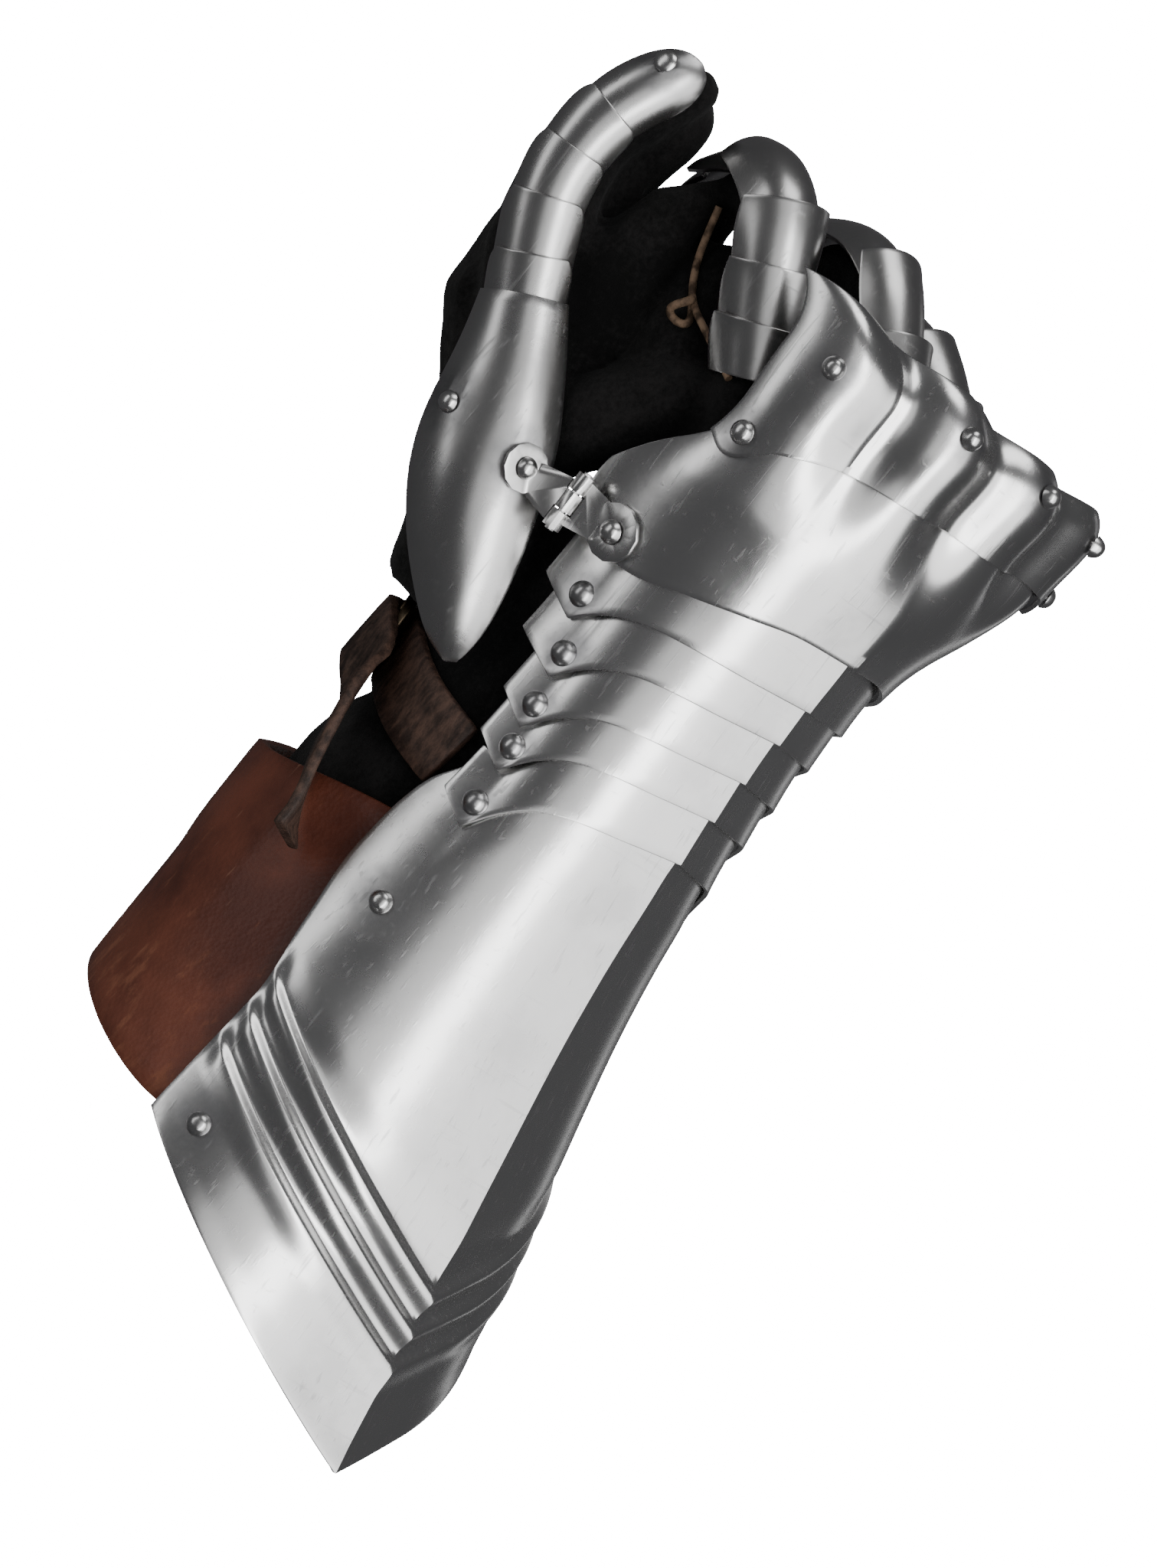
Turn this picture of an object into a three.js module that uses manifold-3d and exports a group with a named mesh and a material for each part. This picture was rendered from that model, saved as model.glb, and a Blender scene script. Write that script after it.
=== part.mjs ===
// A steel gauntlet for the right hand, closed loosely over its suede glove.
// Millimetres. The forearm runs along Z with the hand up, the back of the hand faces -Y,
// and the thumb is at -X. The origin is the middle of the wrist, on the forearm's axis.

import * as THREE from 'three';
import { mergeVertices } from 'three/addons/utils/BufferGeometryUtils.js';
import Module from 'manifold-3d';

const wasm = await Module();
wasm.setup();

// ---- driving dimensions -------------------------------------------------------------------

const STEEL = 1.2;             // plate thickness
const GAP = 0.4;               // clearance between neighbouring pieces
const KEEL_TURN = 17;          // degrees from the back of the hand to the cuff's keel
const KEEL_FACE = 17.5;        // degrees that each flat beside the keel leans back
const KNUCKLE_TURN = 8;        // degrees that the row of knuckles is turned
const THUMB_TURN = 31;         // degrees from the back of the hand to the thumb's plates
const LAP_SLOPE = 0.16;        // how fast a wrist lame closes in above its lower edge
const LAP_LIFT = 1.2;          // how far a lame's lower edge stands off the forearm form
const RIVET_RADIUS = 3.2;
const RIVET_HEIGHT = 2.5;
const SHANK_RADIUS = 1.3;
const LEATHER = 3;             // cuff panel
const SUEDE = 2;               // glove wall
const STRAP = 2.6;             // strap thickness
const STRAP_WIDTH = 19;

// Radius of the armoured forearm at each height, beside the keel.
const FOREARM = [
  { z: 64, r: 48.5 }, { z: 48, r: 47 }, { z: 34, r: 44.8 }, { z: 12, r: 42.8 },
  { z: -12, r: 42.4 }, { z: -30, r: 44 }, { z: -52, r: 47.4 }, { z: -92, r: 56.5 },
  { z: -119, r: 62.8 }, { z: -142, r: 67 }, { z: -168, r: 72.8 },
];

// The arch of the four knuckles: a half ellipse, in its own turned frame.
const ARCH = { x: 6, y: -20, across: 49.5, high: 31 };
const HAND_FROM = 46;          // the forearm's section starts to become the arch
const HAND_TO = 84;            // and is the arch from here

// Wrist lames, from the hand down: height of the lower edge on the keel, angle of its lower
// corners, height of the rivets, angle of the pointed ends, and height of the plate there.
const LAMES = [
  { keelZ: 34, corner: 75, rivetZ: 24.8, tip: 91, side: 22 },
  { keelZ: 24, corner: 68.5, rivetZ: 12, tip: 86, side: 18 },
  { keelZ: 12.3, corner: 66, rivetZ: -0.9, tip: 78.5, side: 18 },
  { keelZ: 1.3, corner: 63.5, rivetZ: -11.5, tip: 76, side: 17 },
  { keelZ: -11, corner: 61.5, rivetZ: -26.3, tip: 73, side: 17 },
];
const LAME_HEIGHT = 20;        // on the keel
const CORNER_DROP = 6.2;       // from a lame's rivet down to its lower corner

// Cuff, from its upper edge to the rim: heights on the keel and at the side edges, how bowed
// the row is between them, and how far it stands proud of the forearm form.
const CUFF_ROWS = [
  { keelZ: -1, sideZ: -22, bow: 2, proud: 0 },
  { keelZ: -20, sideZ: -34, bow: 1.8, proud: 0 },
  { keelZ: -45, sideZ: -46, bow: 1.4, proud: 0 },
  { keelZ: -75, sideZ: -58, bow: 1.1, proud: 0 },
  { keelZ: -105, sideZ: -73, bow: 1, proud: 0 },
  { keelZ: -118.5, sideZ: -81.5, bow: 1, proud: -0.9 },
  { keelZ: -121, sideZ: -84, bow: 1, proud: 1.1 },
  { keelZ: -127.5, sideZ: -90.5, bow: 1, proud: -0.9 },
  { keelZ: -130, sideZ: -93, bow: 1, proud: 1.1 },
  { keelZ: -136.5, sideZ: -99.5, bow: 1, proud: -0.9 },
  { keelZ: -139, sideZ: -102, bow: 1, proud: 1.1 },
  { keelZ: -147, sideZ: -109, bow: 1, proud: 0 },
  { keelZ: -157, sideZ: -117, bow: 1, proud: 0 },
  { keelZ: -165, sideZ: -122.5, bow: 1, proud: 0.3 },
];

// Angle of the cuff's side edges from the keel.
const CUFF_SIDE = [
  { z: -22, angle: 74 }, { z: -30, angle: 80 }, { z: -40, angle: 82 }, { z: -50, angle: 82 },
  { z: -70, angle: 77.5 }, { z: -90, angle: 73 }, { z: -123, angle: 73 },
];

// Knuckles along the arch: angle of each crest, and how high its gadling stands.
const KNUCKLES = [
  { finger: 'index', angle: -60, gadlingZ: 99.5 },
  { finger: 'middle', angle: -16, gadlingZ: 105 },
  { finger: 'ring', angle: 15, gadlingZ: 104.5 },
  { finger: 'little', angle: 53, gadlingZ: 100.5 },
];
const VALLEYS = [-34, -1, 33];  // angles of the flutes between the knuckles
const FLUTE_DEPTH = 5;
const CURL = new THREE.Vector3(-0.38, 0.925, 0);  // way that the fingers close

// ---- small tools --------------------------------------------------------------------------

const rad = THREE.MathUtils.degToRad;
const mix = THREE.MathUtils.lerp;
const clamp = THREE.MathUtils.clamp;
const ease = (x) => THREE.MathUtils.smoothstep(x, 0, 1);
const vec = (x, y, z) => new THREE.Vector3(x, y, z);

// Steps from one value to another, both included.
const steps = (from, to, count) => Array.from({ length: count + 1 }, (_, i) => mix(from, to, i / count));

// Reads a column of a table between its rows, along a smooth curve with no overshoot.
function along(rows, key, column, at) {
  const sorted = [...rows].sort((a, b) => a[key] - b[key]);
  const xs = sorted.map((row) => row[key]);
  const ys = sorted.map((row) => row[column]);
  const last = xs.length - 1;
  if (at <= xs[0]) return ys[0];
  if (at >= xs[last]) return ys[last];
  const slope = (i) => (ys[i + 1] - ys[i]) / (xs[i + 1] - xs[i]);
  const tangent = (i) => {
    if (i === 0) return slope(0);
    if (i === last) return slope(last - 1);
    const before = slope(i - 1);
    const after = slope(i);
    return before * after <= 0 ? 0 : (2 * before * after) / (before + after);
  };
  const i = xs.findIndex((x, k) => k < last && at < xs[k + 1]);
  const width = xs[i + 1] - xs[i];
  const s = (at - xs[i]) / width;
  const rise = (2 * s ** 3 - 3 * s ** 2 + 1) * ys[i] + (3 * s ** 2 - 2 * s ** 3) * ys[i + 1];
  const lean = (s ** 3 - 2 * s ** 2 + s) * tangent(i) + (s ** 3 - s ** 2) * tangent(i + 1);
  return rise + lean * width;
}

// A geometry from points and triangles, turned inside out if its faces point inwards.
function closed(points, triangles) {
  let volume = 0;
  for (const [a, b, c] of triangles) {
    volume += points[a].dot(new THREE.Vector3().crossVectors(points[b], points[c]));
  }
  const index = triangles.flatMap(([a, b, c]) => (volume < 0 ? [a, c, b] : [a, b, c]));
  const geometry = new THREE.BufferGeometry();
  geometry.setAttribute('position', new THREE.Float32BufferAttribute(
    points.flatMap((p) => [p.x, p.y, p.z]), 3));
  geometry.setIndex(index);
  return geometry;
}

// A plate or a leather wall: surface(u, v) is its outer face, and the wall is laid inside it,
// on the side of the point core.
function wall(surface, us, vs, thickness, core) {
  const grid = us.map((u) => vs.map((v) => surface(u, v)));
  const nu = us.length;
  const nv = vs.length;
  const normal = (i, j) => {
    const du = grid[Math.min(i + 1, nu - 1)][j].clone().sub(grid[Math.max(i - 1, 0)][j]);
    const dv = grid[i][Math.min(j + 1, nv - 1)].clone().sub(grid[i][Math.max(j - 1, 0)]);
    return du.cross(dv).normalize();
  };
  const mu = Math.floor(nu / 2);
  const mv = Math.floor(nv / 2);
  const away = grid[mu][mv].clone().sub(core);
  const side = normal(mu, mv).dot(away) > 0 ? 1 : -1;
  const inner = grid.map((row, i) => row.map((p, j) => (
    p.clone().addScaledVector(normal(i, j), -side * thickness))));
  const points = [...grid.flat(), ...inner.flat()];
  const out = (i, j) => i * nv + j;
  const into = (i, j) => nu * nv + i * nv + j;
  const triangles = [];
  const quad = (a, b, c, d) => triangles.push([a, b, c], [a, c, d]);
  for (let i = 0; i < nu - 1; i++) {
    for (let j = 0; j < nv - 1; j++) {
      quad(out(i, j), out(i + 1, j), out(i + 1, j + 1), out(i, j + 1));
      quad(into(i, j), into(i, j + 1), into(i + 1, j + 1), into(i + 1, j));
    }
  }
  for (let i = 0; i < nu - 1; i++) {
    quad(out(i, 0), into(i, 0), into(i + 1, 0), out(i + 1, 0));
    quad(out(i + 1, nv - 1), into(i + 1, nv - 1), into(i, nv - 1), out(i, nv - 1));
  }
  for (let j = 0; j < nv - 1; j++) {
    quad(out(0, j + 1), into(0, j + 1), into(0, j), out(0, j));
    quad(out(nu - 1, j), into(nu - 1, j), into(nu - 1, j + 1), out(nu - 1, j + 1));
  }
  return closed(points, triangles);
}

// A closed skin through rings of points, with a flat or pointed cap at each end.
function skin(rings) {
  const sides = rings[0].length;
  const points = rings.flat();
  const triangles = [];
  for (let i = 0; i < rings.length - 1; i++) {
    for (let k = 0; k < sides; k++) {
      const next = (k + 1) % sides;
      const a = i * sides + k;
      const b = i * sides + next;
      triangles.push([a, b, b + sides], [a, b + sides, a + sides]);
    }
  }
  const cap = (ring, turn) => {
    const middle = new THREE.Vector3();
    ring.forEach((p) => middle.addScaledVector(p, 1 / sides));
    const centre = points.push(middle) - 1;
    const first = turn ? 0 : (rings.length - 1) * sides;
    for (let k = 0; k < sides; k++) {
      const next = (k + 1) % sides;
      const pair = [first + k, first + next];
      triangles.push(turn ? [pair[1], pair[0], centre] : [pair[0], pair[1], centre]);
    }
  };
  cap(rings[0], true);
  cap(rings[rings.length - 1], false);
  return closed(points, triangles);
}

// Library solids for cutting and joining, and back.
function solid(geometry) {
  const bare = geometry.clone();
  bare.deleteAttribute('normal');
  bare.deleteAttribute('uv');
  const merged = mergeVertices(bare, 1e-4);
  return new wasm.Manifold(new wasm.Mesh({
    numProp: 3,
    vertProperties: new Float32Array(merged.attributes.position.array),
    triVerts: new Uint32Array(merged.index.array),
  }));
}

function geometryOf(body) {
  const mesh = body.getMesh();
  const geometry = new THREE.BufferGeometry();
  geometry.setAttribute('position', new THREE.BufferAttribute(mesh.vertProperties, 3));
  geometry.setIndex(new THREE.BufferAttribute(mesh.triVerts, 1));
  return geometry;
}

// ---- materials and the group ---------------------------------------------------------------

const finish = (color, roughness, metalness) => new THREE.MeshStandardMaterial({
  color, roughness, metalness, side: THREE.FrontSide,
});
const steel = () => finish('#b9bbbd', 0.28, 1);
const brightSteel = () => finish('#c9cbcc', 0.2, 1);
const brownLeather = () => finish('#5a2a1a', 0.55, 0);
const darkLeather = () => finish('#3a241d', 0.6, 0);
const blackSuede = () => finish('#141213', 0.95, 0);
const bronze = () => finish('#4a3d28', 0.4, 1);

const gauntlet = new THREE.Group();
gauntlet.name = 'gauntlet';

function piece(name, geometry, material) {
  const mesh = new THREE.Mesh(geometry, material);
  mesh.name = name;
  gauntlet.add(mesh);
  return mesh;
}

// ---- forms that the pieces share -----------------------------------------------------------

// A point on the armoured forearm: angle from the keel, height, and distance outside the form.
function forearm(angle, z, proud) {
  const lean = Math.max(KEEL_FACE - Math.abs(angle), 0);
  const r = along(FOREARM, 'z', 'r', z) / Math.cos(rad(lean)) + proud;
  const turn = rad(angle + KEEL_TURN);
  return vec(r * Math.sin(turn), -r * Math.cos(turn), z);
}

// A point on the arch of the knuckles at an angle from its crown.
function arch(angle, z) {
  const x = ARCH.x + ARCH.across * Math.sin(rad(angle));
  const y = ARCH.y - ARCH.high * Math.cos(rad(angle));
  return vec(x, y, z).applyAxisAngle(vec(0, 0, 1), rad(KNUCKLE_TURN));
}

// 0 on a knuckle's crest and 1 in the flute beside it.
function flute(angle) {
  const stops = [...VALLEYS];
  const crests = KNUCKLES.map((knuckle) => knuckle.angle);
  if (angle <= crests[0] || angle >= crests[crests.length - 1]) return 0;
  const near = crests.reduce((best, c) => (Math.abs(c - angle) < Math.abs(best - angle) ? c : best));
  const beyond = stops.filter((stop) => (stop - near) * (angle - near) > 0);
  const stop = beyond.reduce((best, s) => (Math.abs(s - near) < Math.abs(best - near) ? s : best), 999);
  return clamp(Math.abs((angle - near) / (stop - near)), 0, 1) ** 2;
}

// A point on the back of the hand, from the forearm's section to the arch.
function handForm(angle, z) {
  const share = ease((z - HAND_FROM) / (HAND_TO - HAND_FROM));
  return forearm(angle, z, 0).lerp(arch(angle, z), share);
}

// The same, moved out along the surface's own normal.
function hand(angle, z, proud) {
  const tangent = handForm(angle + 1, z).sub(handForm(angle - 1, z)).normalize();
  const out = vec(tangent.y, -tangent.x, 0);
  const depth = FLUTE_DEPTH * flute(angle) * ease((z - 60) / 34);
  return handForm(angle, z).addScaledVector(out, proud - depth);
}

// ---- rivets ---------------------------------------------------------------------------------

// A domed head on a shank, standing on +Y; without a shank it is a head to be fused to a plate.
function rivetShape(radius, height, foot, shank) {
  const profile = [[0, height], [radius * 0.7, height * 0.75], [radius, foot]];
  const stem = shank > 0 ? [[SHANK_RADIUS, foot], [SHANK_RADIUS, -shank], [0, -shank]] : [[0, foot]];
  const points = [...profile, ...stem].reverse().map(([r, y]) => new THREE.Vector2(r, y));
  return new THREE.LatheGeometry(points, 8);
}

function seated(geometry, place) {
  const turned = geometry.clone();
  const turn = new THREE.Quaternion().setFromUnitVectors(vec(0, 1, 0), place.out);
  turned.applyQuaternion(turn);
  turned.translate(place.at.x, place.at.y, place.at.z);
  return turned;
}

// Where a surface has a point, and which way its outer face looks there.
function seat(surface, u, v, core) {
  const at = surface(u, v);
  const du = surface(u + 0.01, v).sub(surface(u - 0.01, v));
  const dv = surface(u, v + 0.01).sub(surface(u, v - 0.01));
  const out = du.cross(dv).normalize();
  if (out.dot(at.clone().sub(core)) < 0) out.negate();
  return { at, out };
}

function rivet(name, place, shank, radius = RIVET_RADIUS, height = RIVET_HEIGHT) {
  const shape = seated(rivetShape(radius, height + GAP, GAP, shank), place);
  piece(name, shape, brightSteel());
}

// Holes for the shanks of rivets through a plate.
function drilled(geometry, places) {
  const holes = places.map((place) => {
    const hole = new THREE.CylinderGeometry(SHANK_RADIUS + GAP, SHANK_RADIUS + GAP, 12, 8);
    return solid(seated(hole, place));
  });
  return geometryOf(holes.reduce((body, hole) => body.subtract(hole), solid(geometry)));
}

// Rivet heads fused to a plate.
function headed(geometry, places) {
  const heads = places.map((place) => solid(seated(
    rivetShape(RIVET_RADIUS, RIVET_HEIGHT, -STEEL / 2, 0), place)));
  return geometryOf(heads.reduce((body, head) => body.add(head), solid(geometry)));
}

// ---- wrist lames ----------------------------------------------------------------------------

function lameLow(lame, angle) {
  const cornerZ = lame.rivetZ - CORNER_DROP;
  const s = Math.min(Math.abs(angle) / lame.corner, 1);
  const edge = mix(lame.keelZ, cornerZ, 0.35 * s + 0.65 * s ** 6);
  const past = clamp((Math.abs(angle) - lame.corner) / (lame.tip - lame.corner), 0, 1);
  return edge + past * CORNER_DROP * 0.75;
}

function lameHigh(lame, angle) {
  const cornerZ = lame.rivetZ - CORNER_DROP;
  const s = Math.min(Math.abs(angle) / lame.corner, 1);
  const top = mix(lame.keelZ + LAME_HEIGHT, cornerZ + lame.side, 0.35 * s + 0.65 * s ** 4);
  return top;
}

function lameSurface(lame) {
  return (angle, v) => {
    const low = lameLow(lame, angle);
    const z = mix(low, lameHigh(lame, angle), v);
    return forearm(angle, z, LAP_LIFT - LAP_SLOPE * (z - low));
  };
}

const FOREARM_CORE = vec(0, 0, 0);

LAMES.forEach((lame, i) => {
  const surface = lameSurface(lame);
  const half = [...steps(0, KEEL_FACE, 2), 26, 36, 46, 55, lame.corner - 3, lame.corner, lame.tip];
  const angles = [...half.slice(1).reverse().map((a) => -a), ...half];
  const plate = wall(surface, angles, [0, 1], STEEL, FOREARM_CORE);
  const places = [-1, 1].map((way) => {
    const angle = way * (lame.corner + 1);
    const v = (lame.rivetZ - lameLow(lame, angle)) / (lameHigh(lame, angle) - lameLow(lame, angle));
    return seat(surface, angle, v, vec(0, 0, lame.rivetZ));
  });
  piece(`wrist_lame_${i + 1}`, headed(plate, places), steel());
});

// ---- cuff -----------------------------------------------------------------------------------

const lastLame = LAMES[LAMES.length - 1];

// The cuff's own surface: angle from the keel and height, closing in under the last lame.
function cuffForm(angle, z, proud) {
  const above = z - lameLow(lastLame, clamp(angle, -lastLame.corner, lastLame.corner));
  const tuck = above > 0 ? 0.6 + LAP_SLOPE * above : 0.6 * ease(1 + above / 12);
  return forearm(angle, z, proud - tuck);
}

function cuffSurface(share, row) {
  const i = Math.min(Math.floor(row), CUFF_ROWS.length - 2);
  const part = row - i;
  const column = (name) => mix(CUFF_ROWS[i][name], CUFF_ROWS[i + 1][name], part);
  const side = along(CUFF_SIDE, 'z', 'angle', column('sideZ'));
  const z = mix(column('keelZ'), column('sideZ'), Math.abs(share) ** column('bow'));
  const fade = 1 - ease((Math.abs(share) - 0.93) / 0.07);
  return cuffForm(share * side, z, column('proud') * fade);
}

const CUFF_CORE = vec(0, 0, -80);
const cuffShares = [-1, -0.94, -0.85, -0.74, -0.62, -0.5, -0.37, -0.24, -0.12, 0];
const cuffColumns = [...cuffShares, ...cuffShares.slice(0, -1).reverse().map((share) => -share)];
const cuffRows = CUFF_ROWS.map((_, i) => i);
const cuffPlate = wall(cuffSurface, cuffColumns, cuffRows, STEEL, CUFF_CORE);

const CUFF_RIVETS = [
  { name: 'upper', angle: 65, z: -56.5 },
  { name: 'lower', angle: 62.5, z: -118.5 },
];
const cuffPlaces = CUFF_RIVETS.flatMap((row) => [-1, 1].map((way) => ({
  name: `cuff_rivet_${row.name}_${way < 0 ? 'thumb_side' : 'little_side'}`,
  ...seat((angle, z) => cuffForm(angle, z, 0), way * row.angle, row.z, vec(0, 0, row.z)),
})));
piece('cuff_plate', drilled(cuffPlate, cuffPlaces), steel());
cuffPlaces.forEach((place) => rivet(place.name, place, STEEL + GAP + LEATHER + 1));

// ---- leather panel --------------------------------------------------------------------------

// Angle round from the keel, through the palm side, and how far the panel stands off the axis
// near its upper edge and at its lower edge.
const PANEL = [
  { angle: 62, upper: 43.5, lower: 60.5 }, { angle: 84, upper: 45.6, lower: 60.5 },
  { angle: 105, upper: 52, lower: 61 }, { angle: 140, upper: 60.5, lower: 61.5 },
  { angle: 180, upper: 56, lower: 60 }, { angle: 220, upper: 50, lower: 59.5 },
  { angle: 255, upper: 47, lower: 60 }, { angle: 276, upper: 45.6, lower: 60.5 },
  { angle: 298, upper: 43.5, lower: 60.5 },
];
const PANEL_TOP = [
  { angle: 62, z: -38 }, { angle: 84, z: -40 }, { angle: 140, z: -52 }, { angle: 200, z: -52 },
  { angle: 276, z: -42 }, { angle: 298, z: -38 },
];
const PANEL_FOOT = [
  { angle: 62, z: -119 }, { angle: 75, z: -122 }, { angle: 140, z: -114 }, { angle: 200, z: -111 },
  { angle: 285, z: -122 }, { angle: 298, z: -119 },
];

// The panel lies just inside the steel where the two lap, and swings clear of it beyond.
function panelSurface(angle, v) {
  const top = along(PANEL_TOP, 'angle', 'z', angle);
  const foot = along(PANEL_FOOT, 'angle', 'z', angle);
  const z = mix(top, foot, v);
  const free = mix(along(PANEL, 'angle', 'upper', angle), along(PANEL, 'angle', 'lower', angle), v);
  const signed = angle > 180 ? angle - 360 : angle;
  const under = along(FOREARM, 'z', 'r', z) - STEEL - GAP - 1.2;
  const lap = ease((Math.abs(signed) - 84) / 22);
  const r = mix(under, free, lap);
  const turn = rad(KEEL_TURN - angle);
  return vec(r * Math.sin(turn), -r * Math.cos(turn), z);
}

const panelAngles = [62, 70, 78, 86, 94, 103, 113, 125, 140, 157, 175, 193, 211, 229, 245, 257, 266,
  274, 282, 290, 298];
const panelWall = wall(panelSurface, panelAngles, steps(0, 1, 4), LEATHER, CUFF_CORE);
piece('cuff_panel', drilled(panelWall, cuffPlaces), brownLeather());

// ---- metacarpal plate -----------------------------------------------------------------------

const METACARPAL_LOW = [
  { angle: 0, z: 48 }, { angle: 18, z: 47 }, { angle: 35, z: 43.5 }, { angle: 50, z: 39.8 },
  { angle: 70, z: 35.2 }, { angle: 94, z: 35 },
];
const METACARPAL_TOP = [
  { angle: 94, z: 53 }, { angle: 88, z: 63 }, { angle: 82, z: 70 }, { angle: 72, z: 83 },
  { angle: 62, z: 89.5 }, { angle: 0, z: 91 },
];
const METACARPAL_SIDE = 94;
const METACARPAL_LIFT = LAP_LIFT + 0.3;

function metacarpalSurface(angle, v) {
  const low = along(METACARPAL_LOW, 'angle', 'z', Math.abs(angle));
  const top = along(METACARPAL_TOP, 'angle', 'z', Math.abs(angle));
  const z = mix(low, top, v);
  return hand(angle, z, METACARPAL_LIFT * (1 - ease((z - 60) / 25)));
}

const metacarpalAngles = [-94, -88, -80, -70, -60, -51, -42, -34, -25, -16, -8, -1, 7, 15, 24,
  33, 43, 53, 62, 72, 83, 94];
const metacarpal = wall(metacarpalSurface, metacarpalAngles, steps(0, 1, 6), STEEL, vec(5, 0, 65));

// ---- knuckle plate --------------------------------------------------------------------------

const KNUCKLE_FOOT = [
  { angle: -80, z: 72 }, { angle: -70, z: 69.5 }, { angle: -57, z: 77 }, { angle: -33, z: 83 },
  { angle: 0, z: 85 }, { angle: 35, z: 85 }, { angle: 57, z: 83 }, { angle: 70, z: 77.5 },
  { angle: 80, z: 79 },
];
// How the plate rounds over above each knuckle: radius and how far round it goes.
const DOMES = [
  { angle: -80, radius: 15.5, turn: 62 }, { angle: -60, radius: 16, turn: 70 },
  { angle: -16, radius: 14.5, turn: 68 }, { angle: 15, radius: 12, turn: 66 },
  { angle: 53, radius: 9.5, turn: 62 }, { angle: 80, radius: 6.5, turn: 60 },
];
const KNUCKLE_LIFT = 2.2;      // outer face above the metacarpal form
const DOME_Z = 99;             // where the plate starts to round over
const DOME_SWELL = 1.6;
const STRAIGHT = 0.42;         // share of the plate's rows below the rounding

function knuckleSurface(angle, v) {
  const foot = along(KNUCKLE_FOOT, 'angle', 'z', angle);
  const fluted = FLUTE_DEPTH * flute(angle);
  if (v <= STRAIGHT) {
    const part = v / STRAIGHT;
    const z = mix(foot, DOME_Z, part);
    const extra = fluted * (1 - ease((z - 60) / 34)) * ease(part);
    return hand(angle, z, KNUCKLE_LIFT + DOME_SWELL * ease(part) - extra);
  }
  const radius = along(DOMES, 'angle', 'radius', angle);
  const turn = rad(along(DOMES, 'angle', 'turn', angle) * (v - STRAIGHT) / (1 - STRAIGHT));
  const base = hand(angle, DOME_Z, KNUCKLE_LIFT + DOME_SWELL);
  const sag = 0.6 * fluted * (1 - Math.cos(turn));
  base.addScaledVector(CURL, radius * (1 - Math.cos(turn)) + sag);
  base.z += (radius - 0.5 * fluted) * Math.sin(turn);
  return base;
}

const knuckleAngles = [-80, -74, -67, -60, -52, -44, -38, -34, -30, -24, -16, -8, -4, -1, 2, 8,
  15, 22, 29, 33, 37, 45, 53, 62, 71, 80];
const knuckleRows = [0, 0.16, STRAIGHT, 0.57, 0.72, 0.86, 1];
const knuckle = wall(knuckleSurface, knuckleAngles, knuckleRows, STEEL, vec(5, 0, 85));

const KNUCKLE_CORE = vec(6, -12, 88);
const PIVOTS = [
  { name: 'pivot_thumb_side', angle: -70.5, z: 76 },
  { name: 'pivot_little_side', angle: 71, z: 84 },
];
const pivotPlaces = PIVOTS.map((pivot) => ({
  name: pivot.name,
  ...seat((angle, z) => hand(angle, z, KNUCKLE_LIFT + GAP), pivot.angle, pivot.z, KNUCKLE_CORE),
}));
const gadlingPlaces = KNUCKLES.map(({ finger, angle, gadlingZ }) => {
  const radius = along(DOMES, 'angle', 'radius', angle);
  const turn = rad(along(DOMES, 'angle', 'turn', angle));
  const part = Math.asin((gadlingZ - DOME_Z) / radius) / turn;
  return {
    name: `gadling_${finger}`,
    ...seat(knuckleSurface, angle, mix(STRAIGHT, 1, part), KNUCKLE_CORE),
  };
});
piece('knuckle_plate', drilled(knuckle, [...pivotPlaces, ...gadlingPlaces]), steel());
pivotPlaces.forEach((place) => rivet(place.name, place, 2 * STEEL + 3));
gadlingPlaces.forEach((place) => rivet(place.name, place, STEEL + 1.5, 3.1, 3.2));

// ---- plates that follow a thumb or a finger -------------------------------------------------

// A plate bent round a line of stations. Each station has a point on the plate's middle, the
// way its face looks, the radius of its bend, and half its width along the bend on each side.
function bentPlate(stations, columns) {
  const frames = stations.map((station, i) => {
    const before = stations[Math.max(i - 1, 0)].at;
    const after = stations[Math.min(i + 1, stations.length - 1)].at;
    const run = after.clone().sub(before).normalize();
    const face = station.face.clone().addScaledVector(run, -station.face.dot(run)).normalize();
    const across = new THREE.Vector3().crossVectors(run, face);
    return { ...station, face, across };
  });
  const surface = (u, v) => {
    const i = Math.round(v);
    const { at, face, across, radius, left, right } = frames[i];
    const bend = (u < 0 ? u * left : u * right) / radius;
    return at.clone()
      .addScaledVector(face, -radius * (1 - Math.cos(bend)))
      .addScaledVector(across, radius * Math.sin(bend));
  };
  const middle = frames[Math.floor(frames.length / 2)];
  const core = middle.at.clone().addScaledVector(middle.face, -middle.radius);
  return wall(surface, steps(-1, 1, columns), frames.map((_, i) => i), STEEL, core);
}

// ---- thumb ----------------------------------------------------------------------------------

const thumbSide = vec(-Math.cos(rad(THUMB_TURN)), Math.sin(rad(THUMB_TURN)), 0);
const thumbFace = vec(-Math.sin(rad(THUMB_TURN)), -Math.cos(rad(THUMB_TURN)), 0);

// Line of the thumb's plates, from the wrist to the tip: height, distance from the forearm's
// axis to the side, distance in front of it, radius of the bend and half width.
const THUMB_LINE = [
  { z: -6.5, side: 35, front: 30.5, radius: 14, half: 1.5 },
  { z: -2.5, side: 37.5, front: 33, radius: 14, half: 6.5 },
  { z: 6, side: 42, front: 36, radius: 16, half: 11 },
  { z: 17, side: 48.5, front: 38, radius: 19, half: 15.5 },
  { z: 30, side: 55.5, front: 38.5, radius: 20, half: 18.5 },
  { z: 42, side: 60, front: 37, radius: 20, half: 18.5 },
  { z: 52, side: 64, front: 34.5, radius: 17, half: 16 },
  { z: 61, side: 68, front: 32, radius: 14, half: 14 },
  { z: 69, side: 72, front: 30.4, radius: 12.6, half: 11.8 },
];

function thumbStation(row) {
  const at = vec(0, 0, row.z).addScaledVector(thumbSide, row.side).addScaledVector(thumbFace, row.front);
  return { at, face: thumbFace, radius: row.radius, left: row.half, right: row.half };
}

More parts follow.
